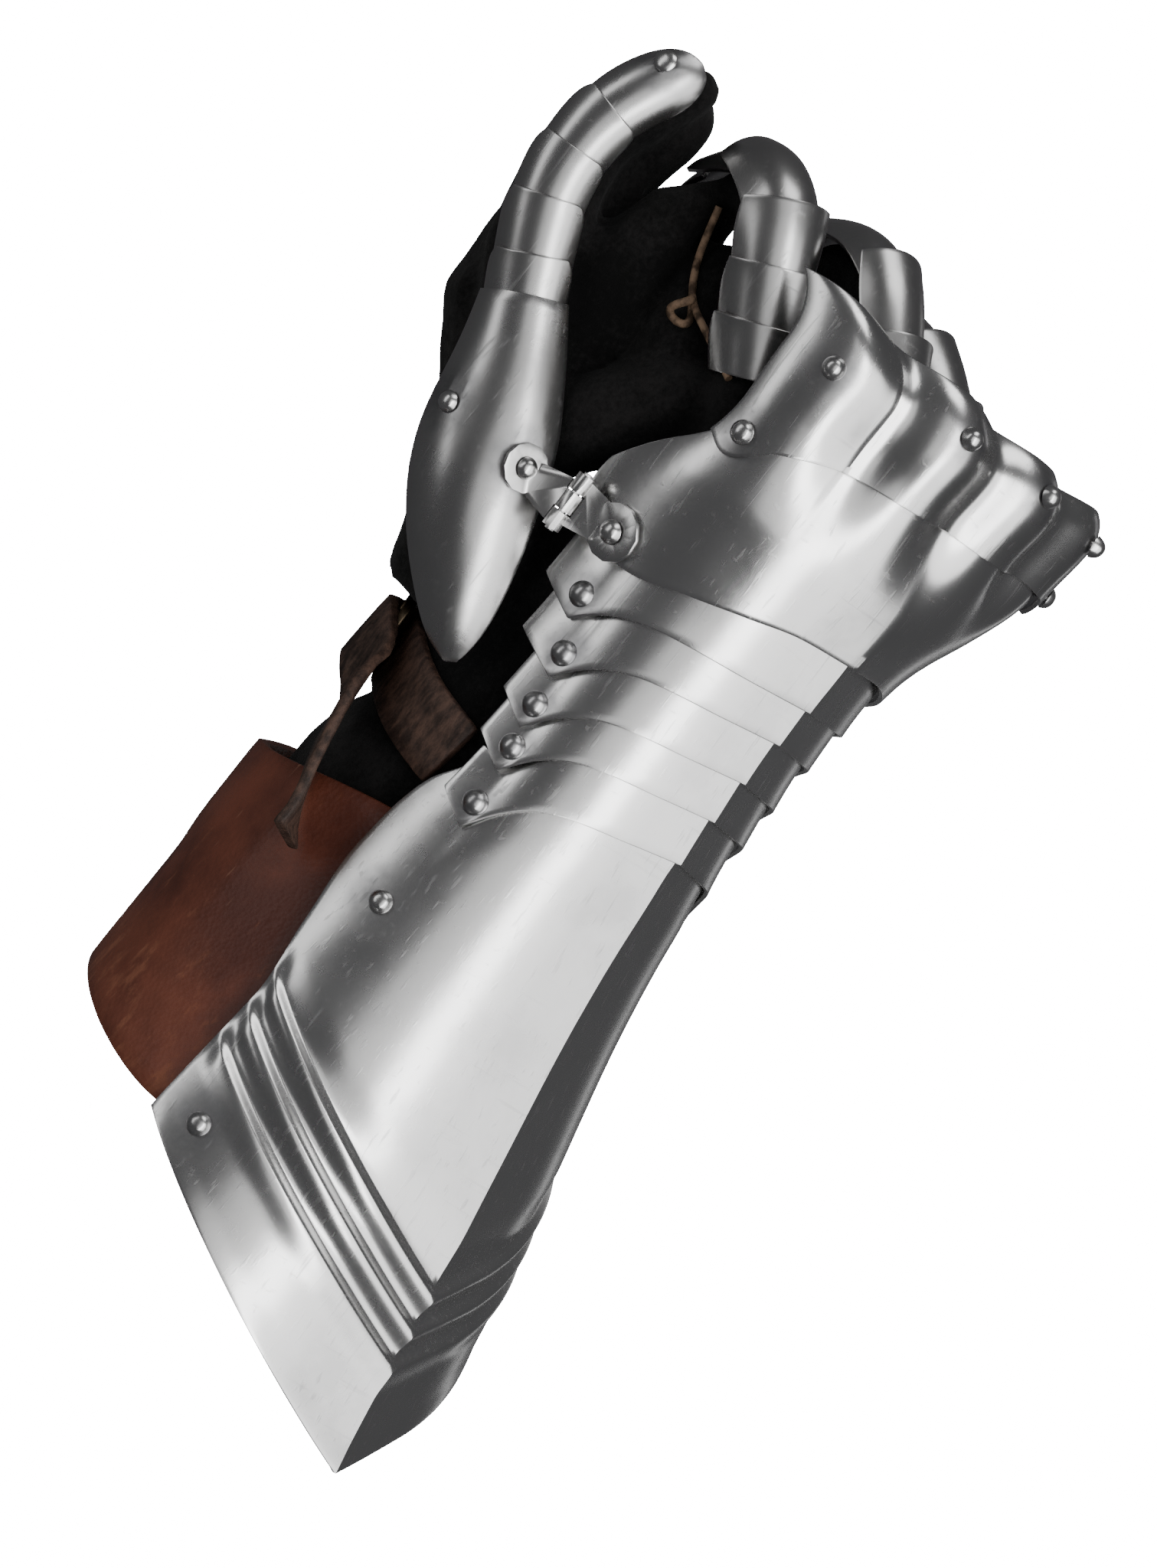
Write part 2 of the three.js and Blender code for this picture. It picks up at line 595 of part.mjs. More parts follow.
const thumbStations = THUMB_LINE.map(thumbStation);
const thumbPlate = bentPlate(thumbStations, 7);

// Scales beyond the base plate: the line of the thumb from its middle joint to the tip.
const THUMB_SCALE_LINE = [
  { z: 62, side: 68.5, front: 30.4 }, { z: 77, side: 76, front: 28 }, { z: 90, side: 81.5, front: 26 },
  { z: 103, side: 83, front: 24.5 }, { z: 115, side: 81, front: 23 }, { z: 125, side: 76, front: 21.5 },
  { z: 132, side: 70.5, front: 20 },
];
const thumbCurve = new THREE.CatmullRomCurve3(THUMB_SCALE_LINE.map((row) => vec(0, 0, row.z)
  .addScaledVector(thumbSide, row.side).addScaledVector(thumbFace, row.front)));

// One lapped scale on a curve: it starts tucked in and ends standing proud over the next.
function scaleStations(curve, from, to, faceAt, radius, half, corner) {
  const rows = corner ? [0, 0.5, 0.86, 1] : [0, 0.5, 1];
  return rows.map((part) => {
    const t = Math.min(mix(from, to, part), 1);
    const face = faceAt(t);
    const proud = mix(-0.9, 0.9, part);
    const width = part === 1 && corner ? half - 2.2 : half;
    const at = curve.getPointAt(clamp(t, 0, 1)).addScaledVector(face, proud);
    return { at, face, radius: radius + proud, left: width, right: width };
  });
}

const THUMB_SCALES = [
  { name: 'thumb_scale_1', from: 0.02, to: 0.22, radius: 11.6, half: 11.5 },
  { name: 'thumb_scale_2', from: 0.17, to: 0.395, radius: 11.3, half: 11.2 },
  { name: 'thumb_scale_3', from: 0.345, to: 0.555, radius: 11, half: 10.5 },
  { name: 'thumb_scale_4', from: 0.505, to: 0.715, radius: 10.6, half: 10 },
];
THUMB_SCALES.forEach((scale) => {
  const stations = scaleStations(thumbCurve, scale.from, scale.to, () => thumbFace,
    scale.radius, scale.half, true);
  piece(scale.name, bentPlate(stations, 7), steel());
});

// The tip plate: rounded over the end of the thumb.
const THUMB_TIP = [
  { t: 0.66, drop: 0.9, half: 8.5 }, { t: 0.75, drop: 0.6, half: 9.5 }, { t: 0.86, drop: 0.5, half: 9.5 },
  { t: 0.94, drop: 1.2, half: 8 }, { t: 0.985, drop: 2.6, half: 5 }, { t: 1, drop: 3.6, half: 2 },
];
const TIP_RADIUS = 9.6;
const tipPlate = bentPlate(THUMB_TIP.map((row) => ({
  at: thumbCurve.getPointAt(row.t).addScaledVector(thumbFace, -row.drop),
  face: thumbFace, radius: TIP_RADIUS, left: row.half, right: row.half,
})), 8);
const TIP_RIVET = { t: 0.9, turn: 0.45 };
const tipAcross = new THREE.Vector3().crossVectors(thumbCurve.getTangentAt(TIP_RIVET.t), thumbFace).normalize();
if (tipAcross.dot(thumbSide) < 0) tipAcross.negate();
const tipOut = thumbFace.clone().multiplyScalar(Math.cos(TIP_RIVET.turn))
  .addScaledVector(tipAcross, Math.sin(TIP_RIVET.turn));
const tipPlace = {
  at: thumbCurve.getPointAt(TIP_RIVET.t).addScaledVector(thumbFace, -TIP_RADIUS - 0.3)
    .addScaledVector(tipOut, TIP_RADIUS),
  out: tipOut,
};
piece('thumb_tip', drilled(tipPlate, [tipPlace]), steel());
rivet('tip_rivet', tipPlace, STEEL + 1, 3, 1.2);

// ---- hinge between the thumb plate and the metacarpal plate ---------------------------------

const PIN_RADIUS = 1.1;
const BARREL_RADIUS = 2.2;
const LEAF = 1.2;
const HINGE_LENGTH = 14;
const THIRD = HINGE_LENGTH / 3;
const hingeAt = vec(0, 0, 39.3).addScaledVector(thumbSide, 35.4).addScaledVector(thumbFace, 39.3);
const hingeAxis = vec(0.02, 0.06, 1).normalize();

const handLobe = seat((angle, z) => hand(angle, z, METACARPAL_LIFT), -77, 40.5, vec(0, 0, 41));
const thumbLobe = {
  at: vec(0, 0, 38.7).addScaledVector(thumbSide, 48.4).addScaledVector(thumbFace, 35.6),
  out: vec(0, 0, 0.3).addScaledVector(thumbFace, 0.85).addScaledVector(thumbSide, -0.53).normalize(),
};

// A round bar on the hinge's axis between two heights.
function onHinge(radius, from, to) {
  const bar = new THREE.CylinderGeometry(radius, radius, to - from, 10);
  bar.translate(0, (from + to) / 2, 0);
  return solid(seated(bar, { at: hingeAt, out: hingeAxis }));
}

// A leaf: a round lobe lying on its plate, a neck up to the barrel with the leaf's own parts of
// it, and room for the other leaf's.
function hingeLeaf(lobe, lobeRadius, own, others) {
  const disc = new THREE.CylinderGeometry(lobeRadius, lobeRadius, LEAF, 12);
  const middle = lobe.at.clone().addScaledVector(lobe.out, 1.4 * GAP + LEAF / 2);
  const toBarrel = hingeAt.clone().sub(middle);
  toBarrel.addScaledVector(lobe.out, -toBarrel.dot(lobe.out)).normalize();
  const from = middle.clone().addScaledVector(toBarrel, lobeRadius * 0.6);
  const along = hingeAt.clone().sub(from);
  along.addScaledVector(hingeAxis, -along.dot(hingeAxis));
  const length = along.length();
  along.normalize();
  const out = new THREE.Vector3().crossVectors(along, hingeAxis);
  const shape = new THREE.Shape();
  shape.moveTo(0, -lobeRadius * 0.7);
  shape.lineTo(length, -HINGE_LENGTH / 2 + 1);
  shape.lineTo(length, HINGE_LENGTH / 2 - 1);
  shape.lineTo(0, lobeRadius * 0.7);
  shape.closePath();
  const neck = new THREE.ExtrudeGeometry(shape, { depth: LEAF, bevelEnabled: false });
  neck.translate(0, 0, -LEAF / 2);
  neck.applyMatrix4(new THREE.Matrix4().makeBasis(along, hingeAxis, out).setPosition(from));
  let leaf = solid(seated(disc, { at: middle, out: lobe.out })).add(solid(neck));
  own.forEach(([low, high]) => { leaf = leaf.add(onHinge(BARREL_RADIUS, low, high)); });
  others.forEach(([low, high]) => {
    leaf = leaf.subtract(onHinge(BARREL_RADIUS + GAP, low - GAP, high + GAP));
  });
  return geometryOf(leaf.subtract(onHinge(PIN_RADIUS + GAP, -HINGE_LENGTH, HINGE_LENGTH)));
}

const handSpans = [[-HINGE_LENGTH / 2, -THIRD / 2 - GAP], [THIRD / 2 + GAP, HINGE_LENGTH / 2]];
const thumbSpans = [[-THIRD / 2, THIRD / 2]];
piece('hinge_leaf_hand', drilled(hingeLeaf(handLobe, 6.8, handSpans, thumbSpans), [handLobe]), steel());
piece('hinge_leaf_thumb', drilled(hingeLeaf(thumbLobe, 5.7, thumbSpans, handSpans), [thumbLobe]),
  steel());
piece('hinge_pin', geometryOf(onHinge(PIN_RADIUS, -HINGE_LENGTH / 2 - 0.6, HINGE_LENGTH / 2 + 0.6)),
  brightSteel());

function onLeaf(place) {
  return { at: place.at.clone().addScaledVector(place.out, 1.4 * GAP + LEAF), out: place.out };
}
const HINGE_SHANK = LEAF + STEEL + 2 * GAP;
rivet('hinge_rivet_hand', onLeaf(handLobe), HINGE_SHANK);
rivet('hinge_rivet_thumb', onLeaf(thumbLobe), HINGE_SHANK, 2.9, 2.3);

piece('metacarpal_plate', drilled(metacarpal, [handLobe, ...pivotPlaces]), steel());

const outerSeat = {
  at: vec(0, 0, 40).addScaledVector(thumbSide, 70.3).addScaledVector(thumbFace, 33.4),
  out: vec(0, 0, -0.1).addScaledVector(thumbFace, 0.82).addScaledVector(thumbSide, 0.57).normalize(),
};
piece('thumb_plate', drilled(thumbPlate, [thumbLobe, outerSeat]), steel());
rivet('thumb_rivet', outerSeat, STEEL + GAP, 2.9, 2.3);

// ---- fingers ---------------------------------------------------------------------------------

// Middle line of each finger: its knuckle, middle joint, end joint and tip, the radius of its
// scales at both ends, how many it has, and how much further they reach on the thumb's side.
const FINGERS = [
  {
    name: 'index', knuckle: vec(-31, -17, 81), middle: vec(-45.5, 6, 119.5), end: vec(-43, 27, 106),
    tip: vec(-39, 24, 87), radius: 11.7, tipRadius: 10, scales: 7, thumbWrap: 0.7,
  },
  {
    name: 'middle', knuckle: vec(-8, -33, 94), middle: vec(-18.5, -3, 118), end: vec(-18, 19, 106),
    tip: vec(-16, 19, 84), radius: 11, tipRadius: 10, scales: 5, thumbWrap: 0,
  },
  {
    name: 'ring', knuckle: vec(20, -27, 92), middle: vec(5, 3, 108), end: vec(5, 24, 98),
    tip: vec(6, 21, 80), radius: 11.2, tipRadius: 9.6, scales: 5, thumbWrap: 0,
  },
  {
    name: 'little', knuckle: vec(43, -15, 89), middle: vec(29, 11, 100), end: vec(27, 28, 90),
    tip: vec(27, 23, 75), radius: 10.2, tipRadius: 9, scales: 4, thumbWrap: 0,
  },
];
const SCALE_WRAP = 1.35;       // radians that the first scale reaches round each side of a finger
const TIP_WRAP = 0.8;          // and the last
const SCALES_FROM = 0.02;      // share of the finger's length where its first scale starts
const SCALE_LAP = 0.035;
const SCALE_LIFT = 1.2;

function fingerCurve(finger) {
  return new THREE.CatmullRomCurve3([finger.knuckle, finger.middle, finger.end, finger.tip]);
}

// The way the back of a finger looks at a point on its middle line.
function fingerBack(finger, curve, t) {
  const run = curve.getTangentAt(clamp(t, 0, 1));
  const toTip = finger.tip.clone().sub(finger.knuckle);
  const toMiddle = finger.middle.clone().sub(finger.knuckle);
  const hinge = new THREE.Vector3().crossVectors(toMiddle, toTip).normalize();
  return new THREE.Vector3().crossVectors(run, hinge).normalize();
}

FINGERS.forEach((finger) => {
  const curve = fingerCurve(finger);
  const stretch = (1 - SCALES_FROM) / finger.scales;
  for (let i = 0; i < finger.scales; i++) {
    const from = SCALES_FROM + i * stretch - (i > 0 ? SCALE_LAP : 0);
    const to = SCALES_FROM + (i + 1) * stretch;
    const radius = mix(finger.radius, finger.tipRadius, (from + to) / 2);
    const rows = [0, 0.35, 0.7, 1];
    const stations = rows.map((part) => {
      const t = Math.min(mix(from, to, part), 1);
      const back = fingerBack(finger, curve, t);
      const r = radius + mix(-SCALE_LIFT, SCALE_LIFT, part);
      const half = r * (mix(SCALE_WRAP, TIP_WRAP, t) - (part === 1 ? 0.2 : 0));
      const at = curve.getPointAt(t).addScaledVector(back, r);
      return { at, face: back, radius: r, left: half + r * finger.thumbWrap * (1 - t), right: half };
    });
    piece(`${finger.name}_scale_${i + 1}`, bentPlate(stations, 5), steel());
  }
});

// ---- glove ------------------------------------------------------------------------------------

// The palm and the glove's short cuff: an oval at each height, with its middle, its half width
// across and deep, and how far it is turned from the row of knuckles.
const PALM = [
  { z: -56, x: -7, y: 5, across: 44.5, deep: 34.5, turn: -31 },
  { z: -40, x: -6.5, y: 5, across: 43.5, deep: 34, turn: -31 },
  { z: -24, x: -5, y: 4, across: 40, deep: 34, turn: -31 },
  { z: -8, x: -4, y: 4, across: 40, deep: 34.5, turn: -31 },
  { z: 10, x: -3, y: 3, across: 39.5, deep: 34.5, turn: -20 },
  { z: 32, x: -1, y: -4, across: 39, deep: 33, turn: -5 },
  { z: 55, x: 1, y: -13, across: 39.5, deep: 27, turn: 6 },
  { z: 72, x: 5, y: -16, across: 38, deep: 19, turn: 8 },
  { z: 83, x: 8, y: -15, across: 31, deep: 13, turn: 8 },
  { z: 90, x: 8, y: -13, across: 26, deep: 8, turn: 8 },
];
const THUMB_LIMB = [
  { z: 2, side: 44, front: 2, r: 18 }, { z: 20, side: 50, front: 14, r: 17 },
  { z: 42, side: 60, front: 17.5, r: 15 }, { z: 62, side: 68.5, front: 14.5, r: 12 },
  { z: 77, side: 77.5, front: 11, r: 12.2 }, { z: 92, side: 81.5, front: 11, r: 11 },
  { z: 106, side: 82, front: 9.5, r: 10 }, { z: 118, side: 77, front: 7.5, r: 9.3 },
  { z: 127, side: 70, front: 6.5, r: 6.2 },
];
const THUMB_PAD = [
  { z: 44, side: 65, front: 0, r: 13.5 }, { z: 62, side: 77, front: -3, r: 14.5 },
  { z: 77, side: 77, front: -5, r: 14.5 }, { z: 92, side: 77, front: -3, r: 12.5 },
  { z: 108, side: 74, front: -2, r: 11 }, { z: 119, side: 69.5, front: -2, r: 9.5 },
];
const WEB = [
  { x: -50, y: 13, z: 42, r: 10 }, { x: -45, y: 3, z: 59, r: 11.5 }, { x: -37, y: -3, z: 71, r: 10.5 },
];
const FOLD = [
  { x: -49, y: 20, z: 44, r: 13 }, { x: -50, y: 24, z: 64, r: 13 }, { x: -56, y: 22, z: 84, r: 11 },
  { x: -54, y: 20, z: 103, r: 8 }, { x: -51, y: 17, z: 111, r: 4.5 },
];
const GRIP = [
  { x: -37, y: 8, z: 58, r: 13 }, { x: -38, y: 9, z: 80, r: 12 }, { x: -40, y: 12, z: 98, r: 8 },
];
const GLOVE_SIDES = 12;
const LIMB_SIDES = 8;
const FINGER_ROOT = 16;              // how far a finger reaches down into the palm
const FINGER_CLEAR = STEEL + 2.3;   // from a scale's outer face down to the suede

function ovalRing(row, inset) {
  return steps(0, 1, GLOVE_SIDES).slice(0, -1).map((share) => {
    const turn = share * 2 * Math.PI;
    return vec((row.across - inset) * Math.cos(turn), (row.deep - inset) * Math.sin(turn), 0)
      .applyAxisAngle(vec(0, 0, 1), rad(row.turn)).add(vec(row.x, row.y, row.z));
  });
}

// A limb of the glove: a round tube through its stations, closed by a dome at each end.
function limb(stations, inset) {
  const line = stations.map((station) => station.at);
  const ends = [0, line.length - 1];
  let side = vec(1, 0.2, 0.1);
  const rings = stations.map((station, i) => {
    const run = line[Math.min(i + 1, ends[1])].clone().sub(line[Math.max(i - 1, 0)]).normalize();
    side = side.clone().addScaledVector(run, -side.dot(run)).normalize();
    const other = new THREE.Vector3().crossVectors(run, side);
    return { ...station, run, side: side.clone(), other, r: station.r - inset };
  });
  const ring = (place, r, shift) => steps(0, 1, LIMB_SIDES).slice(0, -1).map((share) => (
    place.at.clone().addScaledVector(place.run, shift)
      .addScaledVector(place.side, r * Math.cos(share * 2 * Math.PI))
      .addScaledVector(place.other, r * Math.sin(share * 2 * Math.PI))));
  const first = rings[0];
  const last = rings[rings.length - 1];
  return solid(skin([
    ring(first, first.r * 0.55, -first.r * 0.8),
    ...rings.map((place) => ring(place, place.r, 0)),
    ring(last, last.r * 0.7, last.r * 0.65),
    ring(last, last.r * 0.25, last.r * 0.92),
  ]));
}

const thumbLimbs = [THUMB_LIMB, THUMB_PAD].map((rows) => rows.map((row) => ({
  at: vec(0, 0, row.z).addScaledVector(thumbSide, row.side).addScaledVector(thumbFace, row.front),
  r: row.r,
})));
const palmLimbs = [WEB, FOLD, GRIP].map((rows) => rows.map((row) => (
  { at: vec(row.x, row.y, row.z), r: row.r })));
const fingerLimbs = FINGERS.map((finger) => {
  const curve = fingerCurve(finger);
  const radius = (t) => mix(finger.radius, finger.tipRadius - 0.8, t) - FINGER_CLEAR;
  const { x, y, z } = finger.knuckle;
  const root = { at: vec(mix(x, 4, 0.2), mix(y, -10, 0.3), z - FINGER_ROOT), r: radius(0) };
  return [root, ...[0.04, 0.28, 0.44, 0.6, 0.78, 0.94].map((t) => ({
    at: curve.getPointAt(t), r: radius(t),
  }))];
});

function gloveForm(inset) {
  const rows = inset > 0 ? [{ ...PALM[0], z: PALM[0].z - 5 }, ...PALM] : PALM;
  const last = rows.length - 1;
  const palm = solid(skin(rows.map((row, i) => (
    ovalRing(i === last ? { ...row, z: row.z - inset } : row, inset)))));
  return [...thumbLimbs, ...palmLimbs, ...fingerLimbs].reduce((body, line) => (
    body.add(limb(line, inset))), palm);
}
// ---- strap and buckle ------------------------------------------------------------------------

// Round the glove's wrist, from inside the cuff at the thumb to inside it at the little finger:
// direction from the middle of the wrist, and height.
const STRAP_LINE = [
  { turn: -112, z: -23 }, { turn: -135, z: -20.5 }, { turn: -158, z: -16.5 }, { turn: -180, z: -14.5 },
  { turn: -205, z: -15 }, { turn: -235, z: -17 }, { turn: -270, z: -20 }, { turn: -310, z: -22 },
  { turn: -340, z: -23 }, { turn: -362, z: -23 },
];
const STRAP_OFF = GAP + STRAP / 2;
const strapPoints = STRAP_LINE.map((row) => {
  const oval = {};
  ['x', 'y', 'across', 'deep'].forEach((key) => { oval[key] = along(PALM, 'z', key, row.z); });
  return vec((oval.across + STRAP_OFF) * Math.cos(rad(row.turn)),
    (oval.deep + STRAP_OFF) * Math.sin(rad(row.turn)), 0)
    .applyAxisAngle(vec(0, 0, 1), rad(-THUMB_TURN)).add(vec(oval.x, oval.y, row.z));
});

// The buckle's own frame: along the strap away from the thumb, across it, and out from it.
const BUCKLE = { high: 24, wide: 19, bar: 2.8 };
const buckleAt = strapPoints[3];
const buckleOut = thumbSide.clone();
const buckleUp = vec(0, 0, 1);
const buckleRun = new THREE.Vector3().crossVectors(buckleOut, buckleUp);
const barOut = STRAP / 2 + 2 * GAP + BUCKLE.bar / 2;
const inBuckle = (run, up, out) => buckleAt.clone().addScaledVector(buckleRun, run)
  .addScaledVector(buckleUp, up).addScaledVector(buckleOut, out);

function barBox(sizes, place, room = 0) {
  const [long, high, thick] = sizes.map((size) => size + 2 * room);
  const box = new THREE.BoxGeometry(long, thick, high);
  const turn = new THREE.Matrix4().makeBasis(buckleRun, buckleOut, buckleUp);
  box.applyMatrix4(turn.setPosition(inBuckle(...place)));
  return solid(box);
}

// The free end: up through the frame, over its near bar and down in front of the cuff's leather.
const FREE_END = [
  { z: -22, side: 49.5, front: 17 }, { z: -32, side: 48, front: 29 }, { z: -45, side: 44.5, front: 38.5 },
  { z: -58, side: 40, front: 45 },
];
const FREE_TURN = 0.9;         // radians that it has turned on itself at its tip
const freePoints = [
  inBuckle(5, 0, 0.3), inBuckle(0, 0, 2.6), inBuckle(-4.5, 0, barOut + BUCKLE.bar / 2 + STRAP_OFF),
  inBuckle(-9, 0, barOut + BUCKLE.bar / 2 + STRAP_OFF + 0.8),
  ...FREE_END.map((row) => vec(0, 0, row.z).addScaledVector(thumbSide, row.side)
    .addScaledVector(thumbFace, row.front)),
];

function band(points, width, turnAt, thickness = STRAP) {
  const curve = new THREE.CatmullRomCurve3(points);
  return solid(skin(steps(0, 1, points.length * 2).map((t) => {
    const at = curve.getPointAt(t);
    const run = curve.getTangentAt(t);
    const across = vec(0, 0, 1).addScaledVector(run, -run.z).normalize().applyAxisAngle(run, turnAt(t));
    const flat = new THREE.Vector3().crossVectors(run, across);
    return [[-1, -1], [1, -1], [1, 1], [-1, 1]].map(([u, v]) => (
      at.clone().addScaledVector(across, (u * width) / 2).addScaledVector(flat, (v * thickness) / 2)));
  })));
}

const TONGUE = { wide: 2.4, thick: 1.6 };
const ringOut = BUCKLE.bar + 2 * GAP + 2 * TONGUE.thick;
const nearBar = -(BUCKLE.wide - BUCKLE.bar) / 2;
const tongueOut = barOut + BUCKLE.bar / 2 + GAP + TONGUE.thick / 2;
const tongueParts = [
  { sizes: [ringOut, TONGUE.wide, ringOut], place: [nearBar, 0, barOut] },
  { sizes: [BUCKLE.wide + 2, TONGUE.wide, TONGUE.thick], place: [1, 0, tongueOut] },
];
const inRing = [BUCKLE.bar + 2 * GAP, TONGUE.wide + 1, BUCKLE.bar + 2 * GAP];
const tongue = tongueParts.map((part) => barBox(part.sizes, part.place)).reduce((a, b) => a.add(b))
  .subtract(barBox(inRing, [nearBar, 0, barOut]));
const frameOuter = [BUCKLE.wide, BUCKLE.high, BUCKLE.bar];
const frameInner = [BUCKLE.wide - 2 * BUCKLE.bar, BUCKLE.high - 2 * BUCKLE.bar, BUCKLE.bar + 1];
const frame = barBox(frameOuter, [0, 0, barOut]).subtract(barBox(frameInner, [0, 0, barOut]));
const strapWidth = Math.min(STRAP_WIDTH, BUCKLE.high - 2 * BUCKLE.bar - 2 * GAP);
const slots = tongueParts.map((part) => barBox(part.sizes, part.place, GAP));
const strap = [band(strapPoints, strapWidth, () => 0), band(freePoints, strapWidth, (t) => FREE_TURN * t ** 3)]
  .reduce((a, b) => a.add(b));
// The glove, drawn in under the strap.
const belt = (inset) => {
  const rise = new THREE.Vector3();
  const room = STRAP + 12;
  const points = strapPoints.map((point, i) => {
    const out = point.clone().sub(vec(PALM[2].x, PALM[2].y, point.z)).normalize();
    return rise.copy(point).addScaledVector(out, (room - STRAP) / 2 - GAP * 0.7 - inset / 2).clone();
  });
  return band(points, BUCKLE.high + 3 + 2 * (GAP + inset), () => 0, room + inset);
};
const glove = gloveForm(0).subtract(belt(0)).subtract(gloveForm(SUEDE).subtract(belt(SUEDE)));
piece('glove', geometryOf(glove), blackSuede());
piece('wrist_strap', geometryOf(slots.reduce((body, slot) => body.subtract(slot), strap)), darkLeather());
piece('buckle_frame', geometryOf(frame), bronze());
piece('buckle_tongue', geometryOf(tongue), bronze());

export default gauntlet;
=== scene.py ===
# A steel gauntlet over its black suede glove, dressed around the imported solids.
# Metres. The forearm runs along Z with the hand up, and the back of the hand faces -Y.

import math

import bpy
from mathutils import Matrix, Vector, noise


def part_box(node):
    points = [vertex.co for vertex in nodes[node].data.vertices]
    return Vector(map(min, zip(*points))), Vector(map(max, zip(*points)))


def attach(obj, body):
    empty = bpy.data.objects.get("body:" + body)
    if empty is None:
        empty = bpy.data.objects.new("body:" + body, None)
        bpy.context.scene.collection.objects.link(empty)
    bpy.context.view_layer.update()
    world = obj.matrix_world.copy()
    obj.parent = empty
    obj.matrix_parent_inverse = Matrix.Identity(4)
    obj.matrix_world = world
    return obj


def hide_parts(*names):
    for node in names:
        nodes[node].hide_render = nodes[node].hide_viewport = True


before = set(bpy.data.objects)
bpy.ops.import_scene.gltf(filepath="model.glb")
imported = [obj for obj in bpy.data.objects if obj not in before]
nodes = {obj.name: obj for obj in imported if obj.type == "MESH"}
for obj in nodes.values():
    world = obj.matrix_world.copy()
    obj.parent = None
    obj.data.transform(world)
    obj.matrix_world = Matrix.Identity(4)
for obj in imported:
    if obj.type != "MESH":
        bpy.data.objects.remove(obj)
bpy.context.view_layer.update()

# ---- camera ----
# A long lens from the thumb's side of the back of the hand, a little above it, and leaning
# over, so that the forearm rises from the lower left to the upper right.

LENS = 135.0
SENSOR = 36.0
CAMERA_AT = Vector((-0.684325, -1.147818, 0.173017))
CAMERA_TURN = math.radians(-31)
CAMERA_DROP = math.radians(8)
CAMERA_LEAN = math.radians(37.8)

forward = Vector((-math.sin(CAMERA_TURN) * math.cos(CAMERA_DROP),
                  math.cos(CAMERA_TURN) * math.cos(CAMERA_DROP), -math.sin(CAMERA_DROP)))
level_right = Vector((math.cos(CAMERA_TURN), math.sin(CAMERA_TURN), 0))
level_up = level_right.cross(forward)
right = level_right * math.cos(CAMERA_LEAN) + level_up * math.sin(CAMERA_LEAN)
up = level_up * math.cos(CAMERA_LEAN) - level_right * math.sin(CAMERA_LEAN)

bpy.ops.object.camera_add()
camera = bpy.context.object
camera.name = "camera"
camera.data.lens = LENS
camera.data.sensor_width = SENSOR
camera.data.clip_start = 0.05
camera.matrix_world = Matrix((
    (right.x, up.x, -forward.x, CAMERA_AT.x),
    (right.y, up.y, -forward.y, CAMERA_AT.y),
    (right.z, up.z, -forward.z, CAMERA_AT.z),
    (0, 0, 0, 1)))
bpy.context.scene.camera = camera

# ---- polished steel ----
# Every plate is mild steel, ground, polished bright and handled since: fine scratches along
# and across it, cloudy marks where hands have been, and darker smears beside its rivets.


class Sock:
    """One output of a shader node. Arithmetic on it adds the nodes that work it out."""

    def __init__(self, finish, socket):
        self.finish, self.socket = finish, socket

    def _math(self, operation, *values):
        return self.finish.node("ShaderNodeMath", {"operation": operation},
                                dict(enumerate(values)))

    def __add__(self, other):
        return self._math("ADD", self, other)

    def __rsub__(self, other):
        return self._math("SUBTRACT", other, self)

    def __mul__(self, other):
        return self._math("MULTIPLY", self, other)


class Finish:
    """A material under way: its shader, and one method that adds any other node."""

    def __init__(self, name, **constants):
        self.material = bpy.data.materials.new(name)
        self.material.use_nodes = True
        self.tree = self.material.node_tree
        self.shader = self.tree.nodes["Principled BSDF"]
        for socket, value in constants.items():
            self.shader.inputs[socket.replace("_", " ")].default_value = value

    def node(self, kind, settings=None, sockets=None, out=0):
        made = self.tree.nodes.new(kind)
        for key, value in (settings or {}).items():
            setattr(made, key, value)
        for key, value in (sockets or {}).items():
            if isinstance(value, Sock):
                self.tree.links.new(value.socket, made.inputs[key])
            else:
                made.inputs[key].default_value = value
        return Sock(self, made.outputs[out])

    def set(self, socket, value):
        self.tree.links.new(value.socket, self.shader.inputs[socket])

    def place(self):
        return self.node("ShaderNodeTexCoord", out="Object")

    def noise(self, vector, scale, detail=3.0, rough=0.5, stretch=(1, 1, 1)):
        stretched = self.node("ShaderNodeVectorMath", {"operation": "MULTIPLY"},
                              {0: vector, 1: stretch})
        return self.node("ShaderNodeTexNoise", {}, {
            "Vector": stretched, "Scale": scale, "Detail": detail, "Roughness": rough})

    def fade(self, value, low, high):
        """0 below low, 1 above high, smooth between."""
        return self.node("ShaderNodeMapRange", {"interpolation_type": "SMOOTHSTEP"}, {
            "Value": value, "From Min": low, "From Max": high})

    def blend(self, share, first, second):
        return self.node("ShaderNodeMix", {"data_type": "RGBA"},
                         {"Factor": share, 6: first, 7: second}, out=2)

    def bump(self, height, strength, distance):
        self.set("Normal", self.node("ShaderNodeBump", {}, {
            "Height": height, "Strength": strength, "Distance": distance}))


